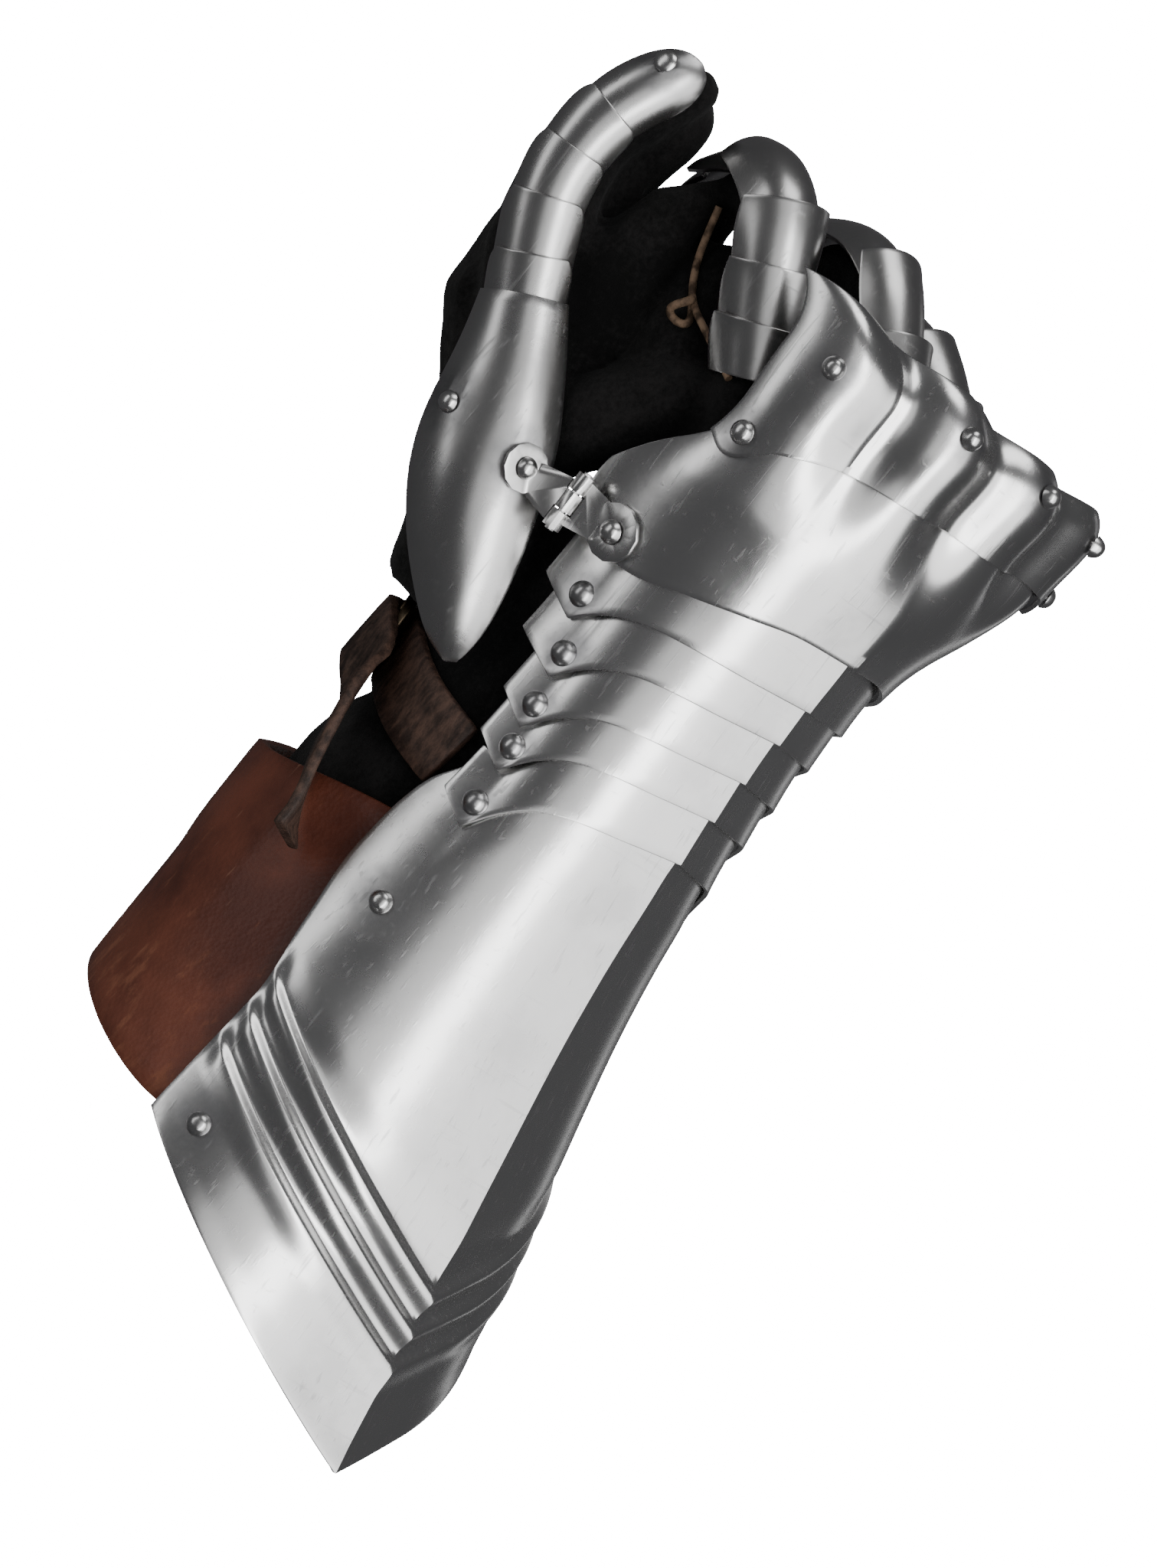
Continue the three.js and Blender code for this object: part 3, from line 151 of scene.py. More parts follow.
def steel_finish(name, tone, gloss, marks=(), mark_size=0.012):
    """Polished steel: tone is how light it is, gloss its roughness, marks its rivets' places."""
    finish = Finish(name, Metallic=1.0)
    place = finish.place()
    clouds = finish.fade(finish.noise(place, 55, 5, 0.6), 0.42, 0.66)
    along = finish.fade(finish.noise(place, 900, 2, 0.5, (1, 1, 0.035)), 0.6, 0.75)
    across = finish.fade(finish.noise(place, 800, 2, 0.5, (0.05, 1, 0.8)), 0.63, 0.78)
    scratches = along * 0.5 + across * 0.4
    smear = clouds * 0.25
    for at in marks:
        off = finish.node("ShaderNodeVectorMath", {"operation": "DISTANCE"},
                          {0: place, 1: tuple(at)}, out="Value")
        near = 1 - finish.fade(off, mark_size * 0.35, mark_size)
        smear = smear + near * (finish.noise(place, 260, 3) * 1.1)
    bright = (tone, tone * 0.995, tone * 0.985, 1)
    dull = (tone * 0.55, tone * 0.55, tone * 0.56, 1)
    dulled = finish.fade(smear + scratches * 0.3, 0, 1)
    finish.set("Base Color", finish.blend(dulled, bright, dull))
    finish.set("Roughness", smear * 0.12 + scratches * 0.16 + gloss)
    finish.bump(finish.noise(place, 60, 3, 0.5) * 0.6 + scratches * 0.1, 0.25, 0.0006)
    return finish.material


WELD = 0.00002
KEEL_CREASE = 0.75


def faired(node, levels=2, rim=1.0, keel_from=22, rim_from=48, rounding=0.00028):
    """A node's facets made one smooth skin. Edges that turn more than keel_from degrees are
    kept as keels and more than rim_from as rims, and the rims are rounded over."""
    bpy.ops.object.select_all(action="DESELECT")
    piece = nodes[node].copy()
    piece.data = nodes[node].data.copy()
    piece.parent = None
    piece.name = node + "_piece"
    for key in list(piece.keys()):
        if key.startswith("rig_"):
            del piece[key]
    piece.hide_render = piece.hide_viewport = False
    bpy.context.scene.collection.objects.link(piece)
    piece.select_set(True)
    bpy.context.view_layer.objects.active = piece
    bpy.ops.object.mode_set(mode="EDIT")
    bpy.ops.mesh.select_all(action="SELECT")
    bpy.ops.mesh.remove_doubles(threshold=WELD)
    bpy.ops.mesh.tris_convert_to_quads(face_threshold=math.radians(35),
                                       shape_threshold=math.radians(60))
    bpy.ops.object.mode_set(mode="OBJECT")
    mesh = piece.data
    crease = mesh.attributes.get("crease_edge") or mesh.attributes.new(
        "crease_edge", "FLOAT", "EDGE")
    turns = {}
    for polygon in mesh.polygons:
        for key in polygon.edge_keys:
            turns.setdefault(key, []).append(polygon.normal)
    for edge in mesh.edges:
        normals = turns.get(edge.key, [])
        if len(normals) == 2:
            turn = math.degrees(normals[0].angle(normals[1], 0))
            if turn > rim_from:
                crease.data[edge.index].value = rim
            elif turn > keel_from:
                crease.data[edge.index].value = KEEL_CREASE
    if levels:
        subdivide = piece.modifiers.new("subdivide", "SUBSURF")
        subdivide.levels = subdivide.render_levels = levels
        bpy.ops.object.modifier_apply(modifier=subdivide.name)
    if rounding:
        bevel = piece.modifiers.new("rounded rim", "BEVEL")
        bevel.width, bevel.segments = rounding, 2
        bevel.limit_method, bevel.angle_limit = "ANGLE", math.radians(58)
        bpy.ops.object.modifier_apply(modifier=bevel.name)
    return piece


def finished(piece, node, material, smooth=40):
    """The piece takes its finish and stands in for its node, which is hidden; it hangs from the
    root.
    """
    piece.data.materials.clear()
    piece.data.materials.append(material)
    bpy.ops.object.select_all(action="DESELECT")
    piece.select_set(True)
    bpy.context.view_layer.objects.active = piece
    bpy.ops.object.shade_smooth_by_angle(angle=math.radians(smooth))
    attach(piece, "root")
    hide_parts(node)
    return piece


def middle(node):
    low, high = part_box(node)
    return (low + high) / 2


# ---- cuff ----
# One sheet of steel, keeled down its middle, flared from the wrist and drawn to a point, with
# three pleats raised near its rim. Its side edges are riveted over the leather panel.

MM = 0.001
PLATE = 1.2
KEEL_TURN = 17                 # degrees from the back of the hand to the keel
KEEL_FACE = 17.5               # degrees that each flat beside the keel leans back
FOREARM = [(-168, 72.8), (-142, 67), (-119, 62.8), (-92, 56.5), (-52, 47.4), (-30, 44),
           (-12, 42.4), (12, 42.8), (34, 44.8), (48, 47), (64, 48.5)]
CUFF_ROWS = [                  # keel height, side height, bow, how far proud
    (-1, -22, 2, 0), (-20, -34, 1.8, 0), (-45, -46, 1.4, 0), (-75, -58, 1.1, 0),
    (-105, -73, 1, 0), (-118.5, -81.5, 1, -0.9), (-121, -84, 1, 1.1), (-127.5, -90.5, 1, -0.9),
    (-130, -93, 1, 1.1), (-136.5, -99.5, 1, -0.9), (-139, -102, 1, 1.1), (-147, -109, 1, 0),
    (-157, -117, 1, 0), (-165, -122.5, 1, 0.3)]
CUFF_SIDE = [(-123, 73), (-90, 73), (-70, 77.5), (-50, 82), (-40, 82), (-30, 80), (-22, 74)]
PLEAT_END = 0.93               # share of the width where the pleats start to die out
TUCK = 0.6                     # how far the cuff's top is let in under the last lame
TUCK_FADE = 12
LAP_SLOPE = 0.16
LAST_LAME = {"keel": -11, "corner": 61.5, "rivet": -26.3, "tip": 73, "side": 17}
CORNER_DROP = 6.2
SMOOTH_UNDER = 28              # degrees between faces that still read as one curve


def clamp(value, low=0.0, high=1.0):
    return max(low, min(high, value))


def ease(share):
    share = clamp(share)
    return share * share * (3 - 2 * share)


def mix(first, second, share):
    return first + (second - first) * share


def steps(first, last, count):
    return [mix(first, last, i / count) for i in range(count + 1)]


def bow(share, power):
    """How far a lame's edge has dropped, from its keel at 0 to its corner at 1."""
    return 0.35 * share + 0.65 * share ** power


def along(rows, at):
    """Reads a table between its rows, on a smooth curve with no overshoot."""
    if at <= rows[0][0]:
        return rows[0][1]
    if at >= rows[-1][0]:
        return rows[-1][1]
    slopes = [(b[1] - a[1]) / (b[0] - a[0]) for a, b in zip(rows, rows[1:])]
    i = next(k for k in range(len(slopes)) if at < rows[k + 1][0])

    def tangent(k):
        if k in (0, len(slopes)):
            return slopes[min(k, len(slopes) - 1)]
        before, after = slopes[k - 1], slopes[k]
        return 0 if before * after <= 0 else 2 * before * after / (before + after)
    width = rows[i + 1][0] - rows[i][0]
    t = (at - rows[i][0]) / width
    rise = (2 * t ** 3 - 3 * t ** 2 + 1) * rows[i][1] + (3 * t ** 2 - 2 * t ** 3) * rows[i + 1][1]
    lean = (t ** 3 - 2 * t ** 2 + t) * tangent(i) + (t ** 3 - t ** 2) * tangent(i + 1)
    return rise + lean * width


def forearm(angle, z, proud):
    """A point on the armoured forearm, in millimetres: angle from the keel and height."""
    radius = along(FOREARM, z) / math.cos(math.radians(max(KEEL_FACE - abs(angle), 0))) + proud
    turn = math.radians(angle + KEEL_TURN)
    return Vector((radius * math.sin(turn), -radius * math.cos(turn), z))


def lame_low(lame, angle):
    corner_z = lame["rivet"] - CORNER_DROP
    share = min(abs(angle) / lame["corner"], 1)
    edge = mix(lame["keel"], corner_z, bow(share, 6))
    past = clamp((abs(angle) - lame["corner"]) / (lame["tip"] - lame["corner"]))
    return edge + past * CORNER_DROP * 0.75


def cuff_surface(share, row):
    i = min(int(row), len(CUFF_ROWS) - 2)
    part = row - i
    keel, side, bow, proud = (mix(a, b, part) for a, b in zip(CUFF_ROWS[i], CUFF_ROWS[i + 1]))
    proud = mix(CUFF_ROWS[i][3], CUFF_ROWS[i + 1][3], ease(part))
    angle = share * along(CUFF_SIDE, side)
    z = mix(keel, side, abs(share) ** bow)
    proud *= 1 - ease((abs(share) - PLEAT_END) / (1 - PLEAT_END))
    above = z - lame_low(LAST_LAME, clamp(angle, -LAST_LAME["corner"], LAST_LAME["corner"]))
    tuck = TUCK + LAP_SLOPE * above if above > 0 else TUCK * ease(1 + above / TUCK_FADE)
    return forearm(angle, z, proud - tuck)


def plate(name, surface, us, vs, thick=PLATE, rounding=0.28):
    """A sheet: a flat grid carried onto the surface, given its thickness inwards, its rim
    then rounded over."""
    bpy.ops.object.select_all(action="DESELECT")
    bpy.ops.mesh.primitive_grid_add(x_subdivisions=len(us) - 1, y_subdivisions=len(vs) - 1, size=1)
    made = bpy.context.object
    made.name = name
    for vertex in made.data.vertices:
        u = round((vertex.co.x + 0.5) * (len(us) - 1))
        v = round((vertex.co.y + 0.5) * (len(vs) - 1))
        vertex.co = surface(us[u], vs[v]) * MM
    face = made.data.polygons[len(made.data.polygons) // 2 + len(us) // 2]
    if face.normal.xy.dot(face.center.xy) < 0:
        made.data.flip_normals()
    for kind, settings in [
            ("SOLIDIFY", {"thickness": thick * MM, "offset": -1}),
            ("BEVEL", {"width": rounding * MM, "segments": 2, "limit_method": "ANGLE",
                       "angle_limit": math.radians(60)})]:
        modifier = made.modifiers.new(kind.lower(), kind)
        for key, value in settings.items():
            setattr(modifier, key, value)
        bpy.ops.object.modifier_apply(modifier=modifier.name)
    return made


CUFF_RIVETS = ["cuff_rivet_upper_thumb_side", "cuff_rivet_upper_little_side",
               "cuff_rivet_lower_thumb_side", "cuff_rivet_lower_little_side"]
cuff_steel = steel_finish("cuff_steel", 0.68, 0.25, [middle(n) for n in CUFF_RIVETS])
last_row = len(CUFF_ROWS) - 1
cuff = plate("cuff", cuff_surface, steps(-1, 1, 120), steps(0, last_row, last_row * 7))
finished(cuff, "cuff_plate", cuff_steel, SMOOTH_UNDER)

# ---- wrist lames ----
# Five narrow plates lap down over the wrist, each over the next, and turn on a rivet at each
# of their pointed ends. Every lower edge is rounded and stands a little off the one below.

LAP_LIFT = 1.2
LAME_HEIGHT = 20
LAMES = [{"keel": 34, "corner": 75, "rivet": 24.8, "tip": 91, "side": 22},
         {"keel": 24, "corner": 68.5, "rivet": 12, "tip": 86, "side": 18},
         {"keel": 12.3, "corner": 66, "rivet": -0.9, "tip": 78.5, "side": 18},
         {"keel": 1.3, "corner": 63.5, "rivet": -11.5, "tip": 76, "side": 17}, LAST_LAME]
RIVET_RADIUS = 3.2
RIVET_HEIGHT = 2.5
RIVET_FOOT = 0.6


def lame_surface(lame):
    def surface(angle, v):
        low = lame_low(lame, angle)
        corner_z = lame["rivet"] - CORNER_DROP
        share = min(abs(angle) / lame["corner"], 1)
        high = mix(lame["keel"] + LAME_HEIGHT, corner_z + lame["side"], bow(share, 4))
        z = mix(low, high, v)
        return forearm(angle, z, LAP_LIFT - LAP_SLOPE * (z - low))
    return surface


def seat(surface, u, v):
    """Where a surface has a point, and the way its outer face looks there."""
    at = surface(u, v)
    step = 0.01
    out = (surface(u + step, v) - surface(u - step, v)).cross(
        surface(u, v + step) - surface(u, v - step)).normalized()
    if out.x * at.x + out.y * at.y < 0:
        out = -out
    return at, out


def domed_head(radius, height, foot):
    """A rivet's head: a ball flattened, cut level below its foot and closed."""
    bpy.ops.object.select_all(action="DESELECT")
    bpy.ops.mesh.primitive_uv_sphere_add(segments=28, ring_count=16, radius=radius * MM)
    head = bpy.context.object
    bpy.ops.object.mode_set(mode="EDIT")
    bpy.ops.mesh.select_all(action="SELECT")
    bpy.ops.transform.resize(value=(1, 1, (height + foot) / radius))
    bpy.ops.mesh.bisect(plane_co=(0, 0, 0), plane_no=(0, 0, 1), clear_inner=True, use_fill=True)
    bpy.ops.mesh.select_all(action="SELECT")
    bpy.ops.transform.translate(value=(0, 0, -foot * MM))
    bpy.ops.object.mode_set(mode="OBJECT")
    return head


def set_in(head, at, out):
    """A copy of a head, its mesh stood on a point and looking out."""
    copy = head.copy()
    copy.data = head.data.copy()
    bpy.context.scene.collection.objects.link(copy)
    turn = Vector((0, 0, 1)).rotation_difference(out).to_matrix().to_4x4()
    copy.data.transform(Matrix.Translation(at * MM) @ turn)
    return copy


def joined(first, others):
    bpy.ops.object.select_all(action="DESELECT")
    for piece in [first, *others]:
        piece.select_set(True)
    bpy.context.view_layer.objects.active = first
    bpy.ops.object.join()
    return first


lame_head = domed_head(RIVET_RADIUS, RIVET_HEIGHT, RIVET_FOOT)
for number, lame in enumerate(LAMES, 1):
    surface = lame_surface(lame)
    corner, tip = lame["corner"], lame["tip"]
    half = (steps(0, KEEL_FACE, 10) + steps(KEEL_FACE, corner, 28)[1:]
            + steps(corner, tip, 6)[1:])
    angles = [-angle for angle in reversed(half[1:])] + half
    made = plate(f"lame_{number}", surface, angles, steps(0, 1, 8))
    places = []
    for angle in (-corner - 1, corner + 1):
        low, high = surface(angle, 0).z, surface(angle, 1).z
        places.append(seat(surface, angle, (lame["rivet"] - low) / (high - low)))
    lame_steel = steel_finish(f"lame_{number}_steel", 0.7, 0.24,
                              [at * MM for at, _ in places], 0.009)
    joined(made, [set_in(lame_head, at, out) for at, out in places])
    finished(made, f"wrist_lame_{number}", lame_steel, SMOOTH_UNDER)
bpy.data.objects.remove(lame_head)

# ---- metacarpal plate ----
# The back of the hand is one plate. Its keel fades out above the wrist, and flutes open from
# it between the fingers and run up under the knuckle plate.

KNUCKLE_TURN = 8
ARCH = {"x": 6, "y": -20, "across": 49.5, "high": 31}
CRESTS = [-60, -16, 15, 53]
VALLEYS = [-34, -1, 33]
FLUTE_DEPTH = 5
FLUTES_FROM, FLUTES_OVER = 60, 34      # where the flutes start to open, and over what height
HAND_FROM, HAND_OVER = 46, 38          # where the forearm's form turns into the hand's arch
LIFT_OVER = 25
METACARPAL_LIFT = LAP_LIFT + 0.3
METACARPAL_LOW = [(0, 48), (18, 47), (35, 43.5), (50, 39.8), (70, 35.2), (94, 35)]
METACARPAL_TOP = [(0, 91), (62, 89.5), (72, 83), (82, 70), (88, 63), (94, 53)]


def flute(angle):
    """0 on a knuckle's crest and 1 in the flute beside it."""
    if angle <= CRESTS[0] or angle >= CRESTS[-1]:
        return 0
    near = min(CRESTS, key=lambda crest: abs(crest - angle))
    beyond = [stop for stop in VALLEYS if (stop - near) * (angle - near) > 0]
    if not beyond:
        return 0
    stop = min(beyond, key=lambda place: abs(place - near))
    return ease(clamp(abs((angle - near) / (stop - near))) ** 1.25)


def hand_form(angle, z):
    turn = math.radians(angle)
    x = ARCH["x"] + ARCH["across"] * math.sin(turn)
    y = ARCH["y"] - ARCH["high"] * math.cos(turn)
    arch = Matrix.Rotation(math.radians(KNUCKLE_TURN), 3, "Z") @ Vector((x, y, z))
    return forearm(angle, z, 0).lerp(arch, ease((z - HAND_FROM) / HAND_OVER))


def hand(angle, z, proud):
    """A point on the back of the hand, its flutes let in, in millimetres."""
    tangent = (hand_form(angle + 1, z) - hand_form(angle - 1, z)).normalized()
    depth = FLUTE_DEPTH * flute(angle) * ease((z - FLUTES_FROM) / FLUTES_OVER)
    return hand_form(angle, z) + Vector((tangent.y, -tangent.x, 0)) * (proud - depth)


def metacarpal_surface(angle, v):
    z = mix(along(METACARPAL_LOW, abs(angle)), along(METACARPAL_TOP, abs(angle)), v)
    return hand(angle, z, METACARPAL_LIFT * (1 - ease((z - FLUTES_FROM) / LIFT_OVER)))


PIVOTS = ["pivot_thumb_side", "pivot_little_side"]
back_steel = steel_finish("back_of_hand_steel", 0.72, 0.23,
                          [middle(n) for n in PIVOTS + ["hinge_rivet_hand"]], 0.011)
side = METACARPAL_LOW[-1][0]
metacarpal = plate("metacarpal", metacarpal_surface, steps(-side, side, 150), steps(0, 1, 36))
finished(metacarpal, "metacarpal_plate", back_steel, SMOOTH_UNDER)

# ---- knuckle plate ----
# Swings over the metacarpal plate on two pivots. It is raised into four rounded knuckles with
# flutes between them, and a domed gadling stands on each.

KNUCKLE_FOOT = [(-80, 72), (-70, 69.5), (-57, 77), (-33, 83), (0, 85), (35, 85), (57, 83),
                (70, 77.5), (80, 79)]
DOME_RADIUS = [(-80, 15.5), (-60, 16), (-16, 14.5), (15, 12), (53, 9.5), (80, 6.5)]
DOME_TURN = [(-80, 62), (-60, 70), (-16, 68), (15, 66), (53, 62), (80, 60)]
KNUCKLE_LIFT = 2.2
DOME_Z = 99
DOME_SWELL = 1.6
STRAIGHT = 0.42
CURL = Vector((-0.38, 0.925, 0))


def knuckle_surface(angle, v):
    fluted = FLUTE_DEPTH * flute(angle)
    if v <= STRAIGHT:
        part = v / STRAIGHT
        z = mix(along(KNUCKLE_FOOT, angle), DOME_Z, part)
        extra = fluted * (1 - ease((z - FLUTES_FROM) / FLUTES_OVER)) * ease(part)
        return hand(angle, z, KNUCKLE_LIFT + DOME_SWELL * ease(part) - extra)
    radius = along(DOME_RADIUS, angle)
    turn = math.radians(along(DOME_TURN, angle)) * (v - STRAIGHT) / (1 - STRAIGHT)
    base = hand(angle, DOME_Z, KNUCKLE_LIFT + DOME_SWELL)
    base += CURL * (radius * (1 - math.cos(turn)) + 0.6 * fluted * (1 - math.cos(turn)))
    base.z += (radius - 0.5 * fluted) * math.sin(turn)
    return base


GADLINGS = ["gadling_index", "gadling_middle", "gadling_ring", "gadling_little"]
knuckle_steel = steel_finish("knuckle_steel", 0.66, 0.23,
                             [middle(n) for n in GADLINGS + PIVOTS], 0.01)
side = KNUCKLE_FOOT[-1][0]
knuckles = plate("knuckles", knuckle_surface, steps(-side, side, 150), steps(0, 1, 56))
finished(knuckles, "knuckle_plate", knuckle_steel, SMOOTH_UNDER)

# ---- thumb plates and finger scales ----
# The thumb and the fingers are covered by small curved scales, each lapped over the next and
# sewn to the glove under it. They are less polished than the plates.

thumb_steel = steel_finish("thumb_steel", 0.52, 0.27, [middle(n) for n in
                           ["hinge_rivet_thumb", "thumb_rivet", "tip_rivet"]])
for node in ["thumb_plate", "thumb_tip"] + [f"thumb_scale_{i}" for i in range(1, 5)]:
    finished(faired(node, 2, keel_from=60), node, thumb_steel)
scale_steel = steel_finish("finger_scale_steel", 0.5, 0.28)
for finger in ["index", "middle", "ring", "little"]:
    for node in sorted(n for n in nodes if n.startswith(finger + "_scale_")):
        finished(faired(node, 3, keel_from=80), node, scale_steel)

# ---- rivets, gadlings and the thumb's hinge ----
# Each rivet is a domed head on a shank through its plates. The hinge is two lobed leaves
# with a barrel cut in three on one pin.

rivet_steel = steel_finish("rivet_steel", 0.62, 0.27)
for node in sorted(n for n in nodes if "rivet" in n or n.startswith(("gadling", "pivot"))):
    head = faired(node, 3, rim=0.9, keel_from=70, rim_from=70, rounding=0)
    finished(head, node, rivet_steel)
for node in ["hinge_leaf_hand", "hinge_leaf_thumb", "hinge_pin"]:
    finished(faired(node, 0), node, rivet_steel, 30)

# ---- inner cuff panel ----
# The palm side of the cuff is closed by a panel of thick brown leather, dyed dark and worn
# orange where it rubs, with scratches near its lower corner.

panel = Finish("cuff_leather", Specular_IOR_Level=0.35)
place = panel.place()
grain = panel.node("ShaderNodeTexVoronoi", {}, {"Vector": place, "Scale": 900.0})
blotch = panel.noise(place, 28, 5, 0.6)
height = panel.node("ShaderNodeSeparateXYZ", {}, {0: place}, out="Z")
low_down = 1 - panel.fade(height, -0.115, -0.07)
wear = panel.fade(panel.noise(place, 190, 6, 0.7, (1, 1, 0.35)) + low_down * 0.14, 0.62, 0.78)
nicks = panel.fade(panel.noise(place, 420, 2, 0.5, (1, 1, 0.12)), 0.7, 0.76)
dyed = panel.blend(panel.fade(blotch, 0.35, 0.7),
                   (0.048, 0.0115, 0.0062, 1), (0.105, 0.0265, 0.0125, 1))
worn = panel.blend(wear * 0.6, dyed, (0.15, 0.048, 0.02, 1))
panel.set("Base Color", panel.blend(nicks * 0.35, worn, (0.2, 0.1, 0.06, 1)))
panel.set("Roughness", blotch * 0.2 + wear * 0.15 + 0.38)
panel.bump(grain * 0.5 + panel.noise(place, 120, 4) * 1.2, 0.35, 0.0005)
finished(faired("cuff_panel", 2, rim=0.9, rounding=0), "cuff_panel", panel.material,
         50)

# ---- glove ----
# A black suede glove under the plates, sewn from thin hide: soft wrinkles round the thumb's
# root and across the palm, and a short open cuff.

VOXEL = 0.0016
WRINKLE_DEPTH = 0.0006
WRINKLES = Vector((70, 70, 45))        # to the metre, fewer along the hand
glove = faired("glove", 0, rounding=0)
glove.data.remesh_voxel_size = VOXEL
bpy.ops.object.select_all(action="DESELECT")
glove.select_set(True)
bpy.context.view_layer.objects.active = glove
bpy.ops.object.voxel_remesh()
soften = glove.modifiers.new("soften", "SMOOTH")
soften.factor = 0.6
soften.iterations = 12
bpy.ops.object.modifier_apply(modifier=soften.name)
normals = [v.normal.copy() for v in glove.data.vertices]
for vertex, normal in zip(glove.data.vertices, normals):
    wrinkle = noise.turbulence(vertex.co * WRINKLES, 3, True)
    vertex.co -= normal * WRINKLE_DEPTH * min(1, wrinkle)
suede = Finish("black_suede", Roughness=0.95, Specular_IOR_Level=0.08, Sheen_Weight=0.02,
               Sheen_Roughness=0.6)
place = suede.place()
nap = suede.noise(place, 700, 4, 0.7)
brushed = suede.noise(place, 40, 4, 0.6)
suede.set("Base Color", suede.blend(suede.fade(brushed * 0.6 + nap * 0.4, 0.4, 0.65),
                                    (0.0015, 0.0015, 0.0015, 1), (0.0075, 0.007, 0.007, 1)))
suede.bump(nap, 0.5, 0.0005)
finished(glove, "glove", suede.material, 180)

# ---- seam and knot beside the index finger ----
# The glove's edge under the index finger's scales is bound with a narrow tan hide, sewn down
# the thumb's side of the finger, and tied off with a pale thong knot.

BINDING = [(-50.5, 12.5, 110), (-48.3, 11.5, 99.8), (-47.6, 6.6, 93.4), (-46.3, 2.6, 89.4),
           (-44.0, -9.0, 86.4), (-39.6, -19.2, 82.4)]
BINDING_RADIUS = 0.0009
KNOT_AT = Vector((-47.4, 2.2, 87.4)) / 1000
KNOT_RADIUS = 0.0016
KNOT_STEPS = 14


def cord_piece(name, points, radius):
    """A round cord through its points, made a mesh."""
    bpy.ops.object.select_all(action="DESELECT")
    curve = bpy.data.curves.new(name, "CURVE")
    curve.dimensions, curve.bevel_depth, curve.bevel_resolution = "3D", radius, 3
    curve.use_fill_caps = True
    spline = curve.splines.new("NURBS")
    spline.points.add(len(points) - 1)
    for point, at in zip(spline.points, points):
        point.co = (*at, 1)
    spline.use_endpoint_u, spline.order_u, spline.resolution_u = True, 3, 6
    made = bpy.data.objects.new(name, curve)
    bpy.context.scene.collection.objects.link(made)
    made.select_set(True)
    bpy.context.view_layer.objects.active = made
    bpy.ops.object.convert(target="MESH")
    return bpy.context.object


tan = Finish("tan_binding", Roughness=0.8, Specular_IOR_Level=0.2)
place = tan.place()
tan.set("Base Color", tan.blend(tan.fade(tan.noise(place, 300, 3), 0.35, 0.65),
                                (0.028, 0.017, 0.01, 1), (0.13, 0.085, 0.055, 1)))
tan.bump(tan.noise(place, 900, 2), 0.4, 0.0003)
binding = cord_piece("index_binding", [Vector(at) / 1000 for at in BINDING], BINDING_RADIUS)
knot_turns = []
for step in range(KNOT_STEPS + 1):
    turn = math.tau * step / KNOT_STEPS
    loop = Vector((math.cos(turn) * 1.5, math.sin(2 * turn) * 1.2, math.sin(turn) * 1.9))
    knot_turns.append(KNOT_AT + loop * KNOT_RADIUS)
knot = cord_piece("thong_knot", knot_turns, KNOT_RADIUS * 0.6)
for piece in [binding, knot]:
    piece.data.materials.append(tan.material)
    bpy.ops.object.select_all(action="DESELECT")
    piece.select_set(True)
    bpy.context.view_layer.objects.active = piece
    bpy.ops.object.shade_smooth()
    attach(piece, "root")

# ---- wrist strap and buckle ----
# A dark brown strap holds the glove at the wrist. It goes up through a bronze buckle and over
# its bar, and its free end hangs down in front of the cuff's leather.

hide = Finish("strap_leather", Specular_IOR_Level=0.3)
place = hide.place()
fibre = hide.noise(place, 500, 4, 0.7, (1, 1, 0.4))
patch = hide.noise(place, 60, 4, 0.6)
hide.set("Base Color", hide.blend(hide.fade(fibre * 0.6 + patch * 0.4, 0.38, 0.66),
                                  (0.016, 0.0085, 0.006, 1), (0.06, 0.032, 0.022, 1)))
hide.set("Roughness", patch * 0.25 + 0.5)
hide.bump(fibre, 0.55, 0.0005)
finished(faired("wrist_strap", 2, rim=0.8, rounding=0), "wrist_strap", hide.material,
         50)

bronze = Finish("dark_bronze", Metallic=1.0)
place = bronze.place()
tarnish = bronze.noise(place, 180, 4, 0.6)
bronze.set("Base Color", bronze.blend(bronze.fade(tarnish, 0.35, 0.7),
                                      (0.06, 0.045, 0.03, 1), (0.2, 0.145, 0.085, 1)))
bronze.set("Roughness", tarnish * 0.3 + 0.22)
bronze.bump(tarnish, 0.2, 0.0004)
for node in ["buckle_frame", "buckle_tongue"]:
    finished(faired(node, 2, rim=0.6, rounding=0), node, bronze.material, 60)

# ---- studio ----
# A plain pale floor well below the piece and a pale surround. Two tall soft lights stand in
# front of the back of the hand and its keel, with weaker ones at the sides and above.

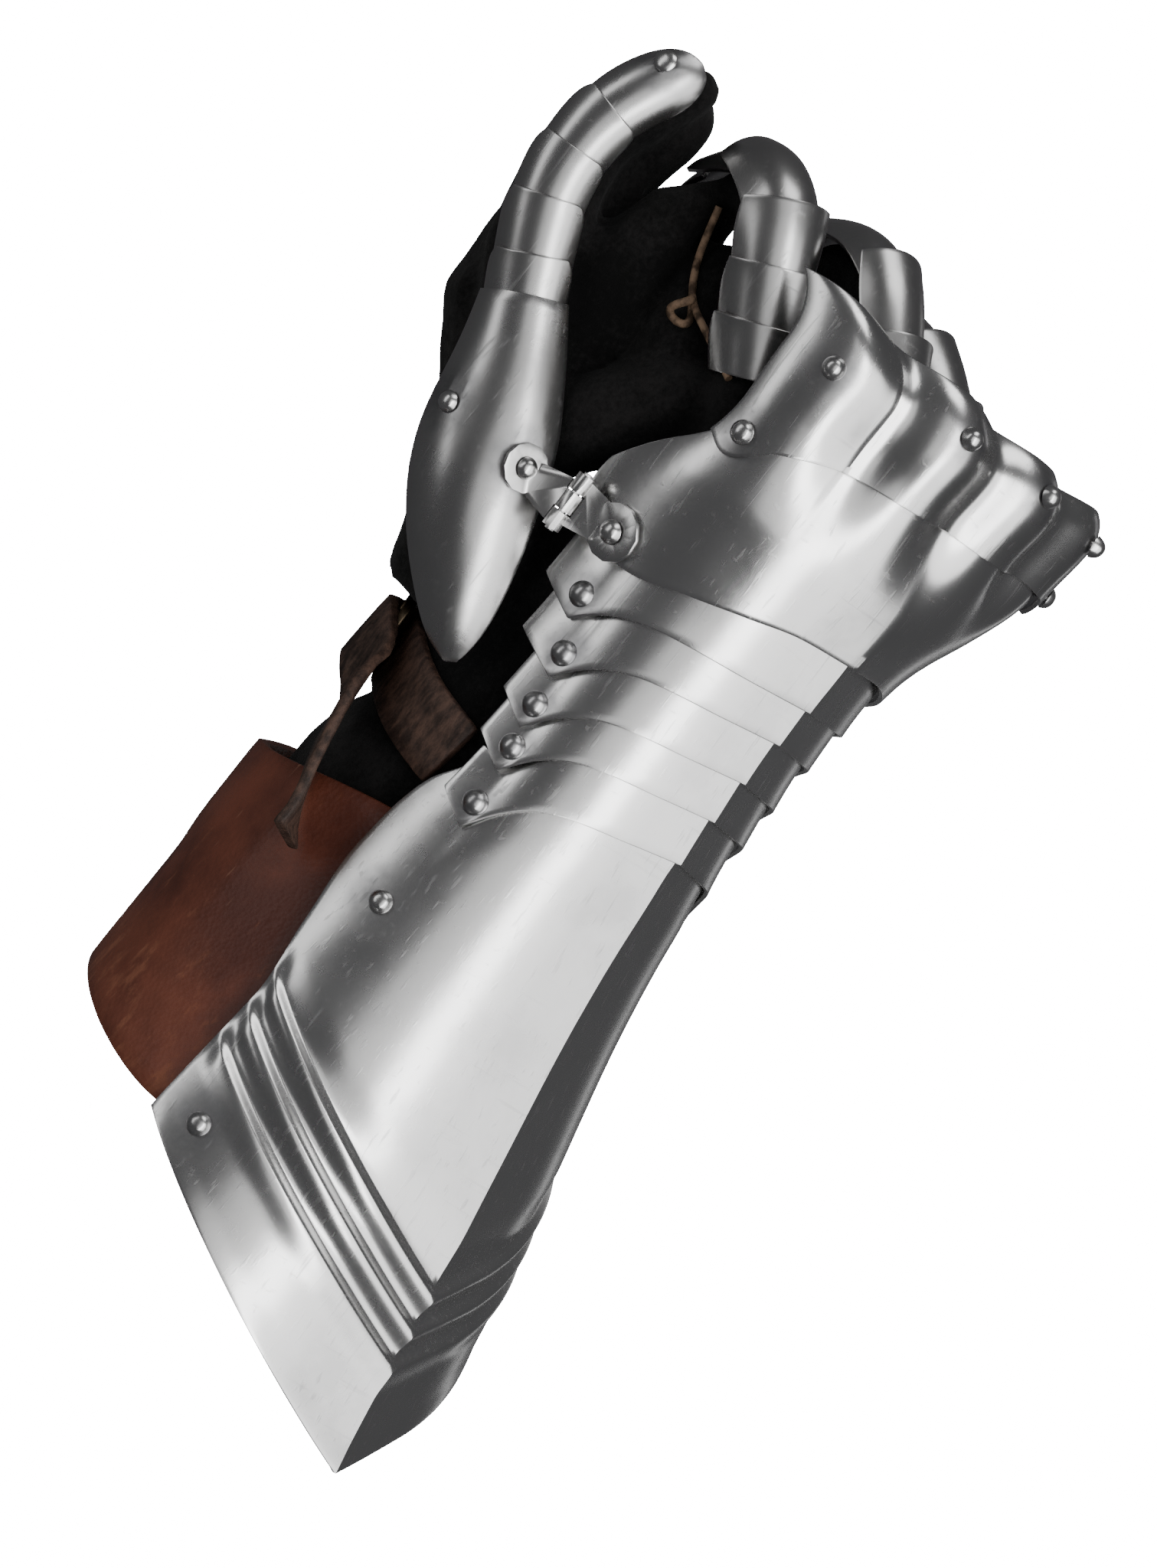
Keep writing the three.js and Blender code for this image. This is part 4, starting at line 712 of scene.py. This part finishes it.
FLOOR_Z = -0.42
FLOOR_RADIUS = 6
PALE = 20.0                    # bright enough that the floor and the surround read as white
bpy.ops.object.select_all(action="DESELECT")
bpy.ops.mesh.primitive_circle_add(vertices=96, radius=FLOOR_RADIUS, fill_type="NGON",
                                  location=(0, 0, FLOOR_Z))
floor = bpy.context.object
floor.name = "floor"
bpy.ops.object.transform_apply(location=True)
pale = Finish("pale_floor", Roughness=1.0, Specular_IOR_Level=0.0,
              Base_Color=(0.9, 0.9, 0.9, 1), Emission_Color=(1, 1, 1, 1), Emission_Strength=PALE)
floor.visible_glossy = floor.visible_diffuse = False
floor.data.materials.append(pale.material)


def softbox(name, turn, rise, away, wide, high, power):
    """A soft light facing the piece, at an angle round from the back of the hand."""
    turn, rise = math.radians(turn), math.radians(rise)
    out = Vector((math.sin(turn) * math.cos(rise), -math.cos(turn) * math.cos(rise),
                  math.sin(rise)))
    bpy.ops.object.light_add(type="AREA", location=out * away)
    light = bpy.context.object
    light.name = name
    light.data.shape = "RECTANGLE"
    light.data.size, light.data.size_y = wide, high
    light.data.energy = power
    light.rotation_euler = out.to_track_quat("Z", "Y").to_euler()


softbox("key_light", 0, 6, 1.6, 0.42, 2.0, 20)
softbox("keel_light", 23, 6, 1.6, 0.78, 2.0, 12)
softbox("front_light", -22, 14, 1.7, 0.7, 1.6, 3.2)
softbox("side_light", -84, 12, 1.6, 0.35, 1.6, 3.5)
softbox("far_light", 118, 5, 1.6, 0.12, 1.6, 0.6)
softbox("top_light", -20, 78, 1.5, 0.7, 0.7, 5)

world = bpy.data.worlds.new("surround")
bpy.context.scene.world = world
world.use_nodes = True
surround = world.node_tree
surround.nodes.clear()
output = surround.nodes.new("ShaderNodeOutputWorld")
rays = surround.nodes.new("ShaderNodeLightPath")


def glow(colour, strength=1.0):
    made = surround.nodes.new("ShaderNodeBackground")
    made.inputs["Color"].default_value = (*colour, 1)
    made.inputs["Strength"].default_value = strength
    return made


def where(ray, seen, otherwise):
    """One surround for rays of a kind, and another for all the rest."""
    made = surround.nodes.new("ShaderNodeMixShader")
    for slot, source in enumerate([rays.outputs[ray], otherwise.outputs[0], seen.outputs[0]]):
        surround.links.new(source, made.inputs[slot])
    return made


reflected = where("Is Glossy Ray", glow((0.075, 0.075, 0.078)), glow((0.8, 0.8, 0.8)))
seen = where("Is Camera Ray", glow((1, 1, 1), PALE), reflected)
surround.links.new(seen.outputs[0], output.inputs[0])
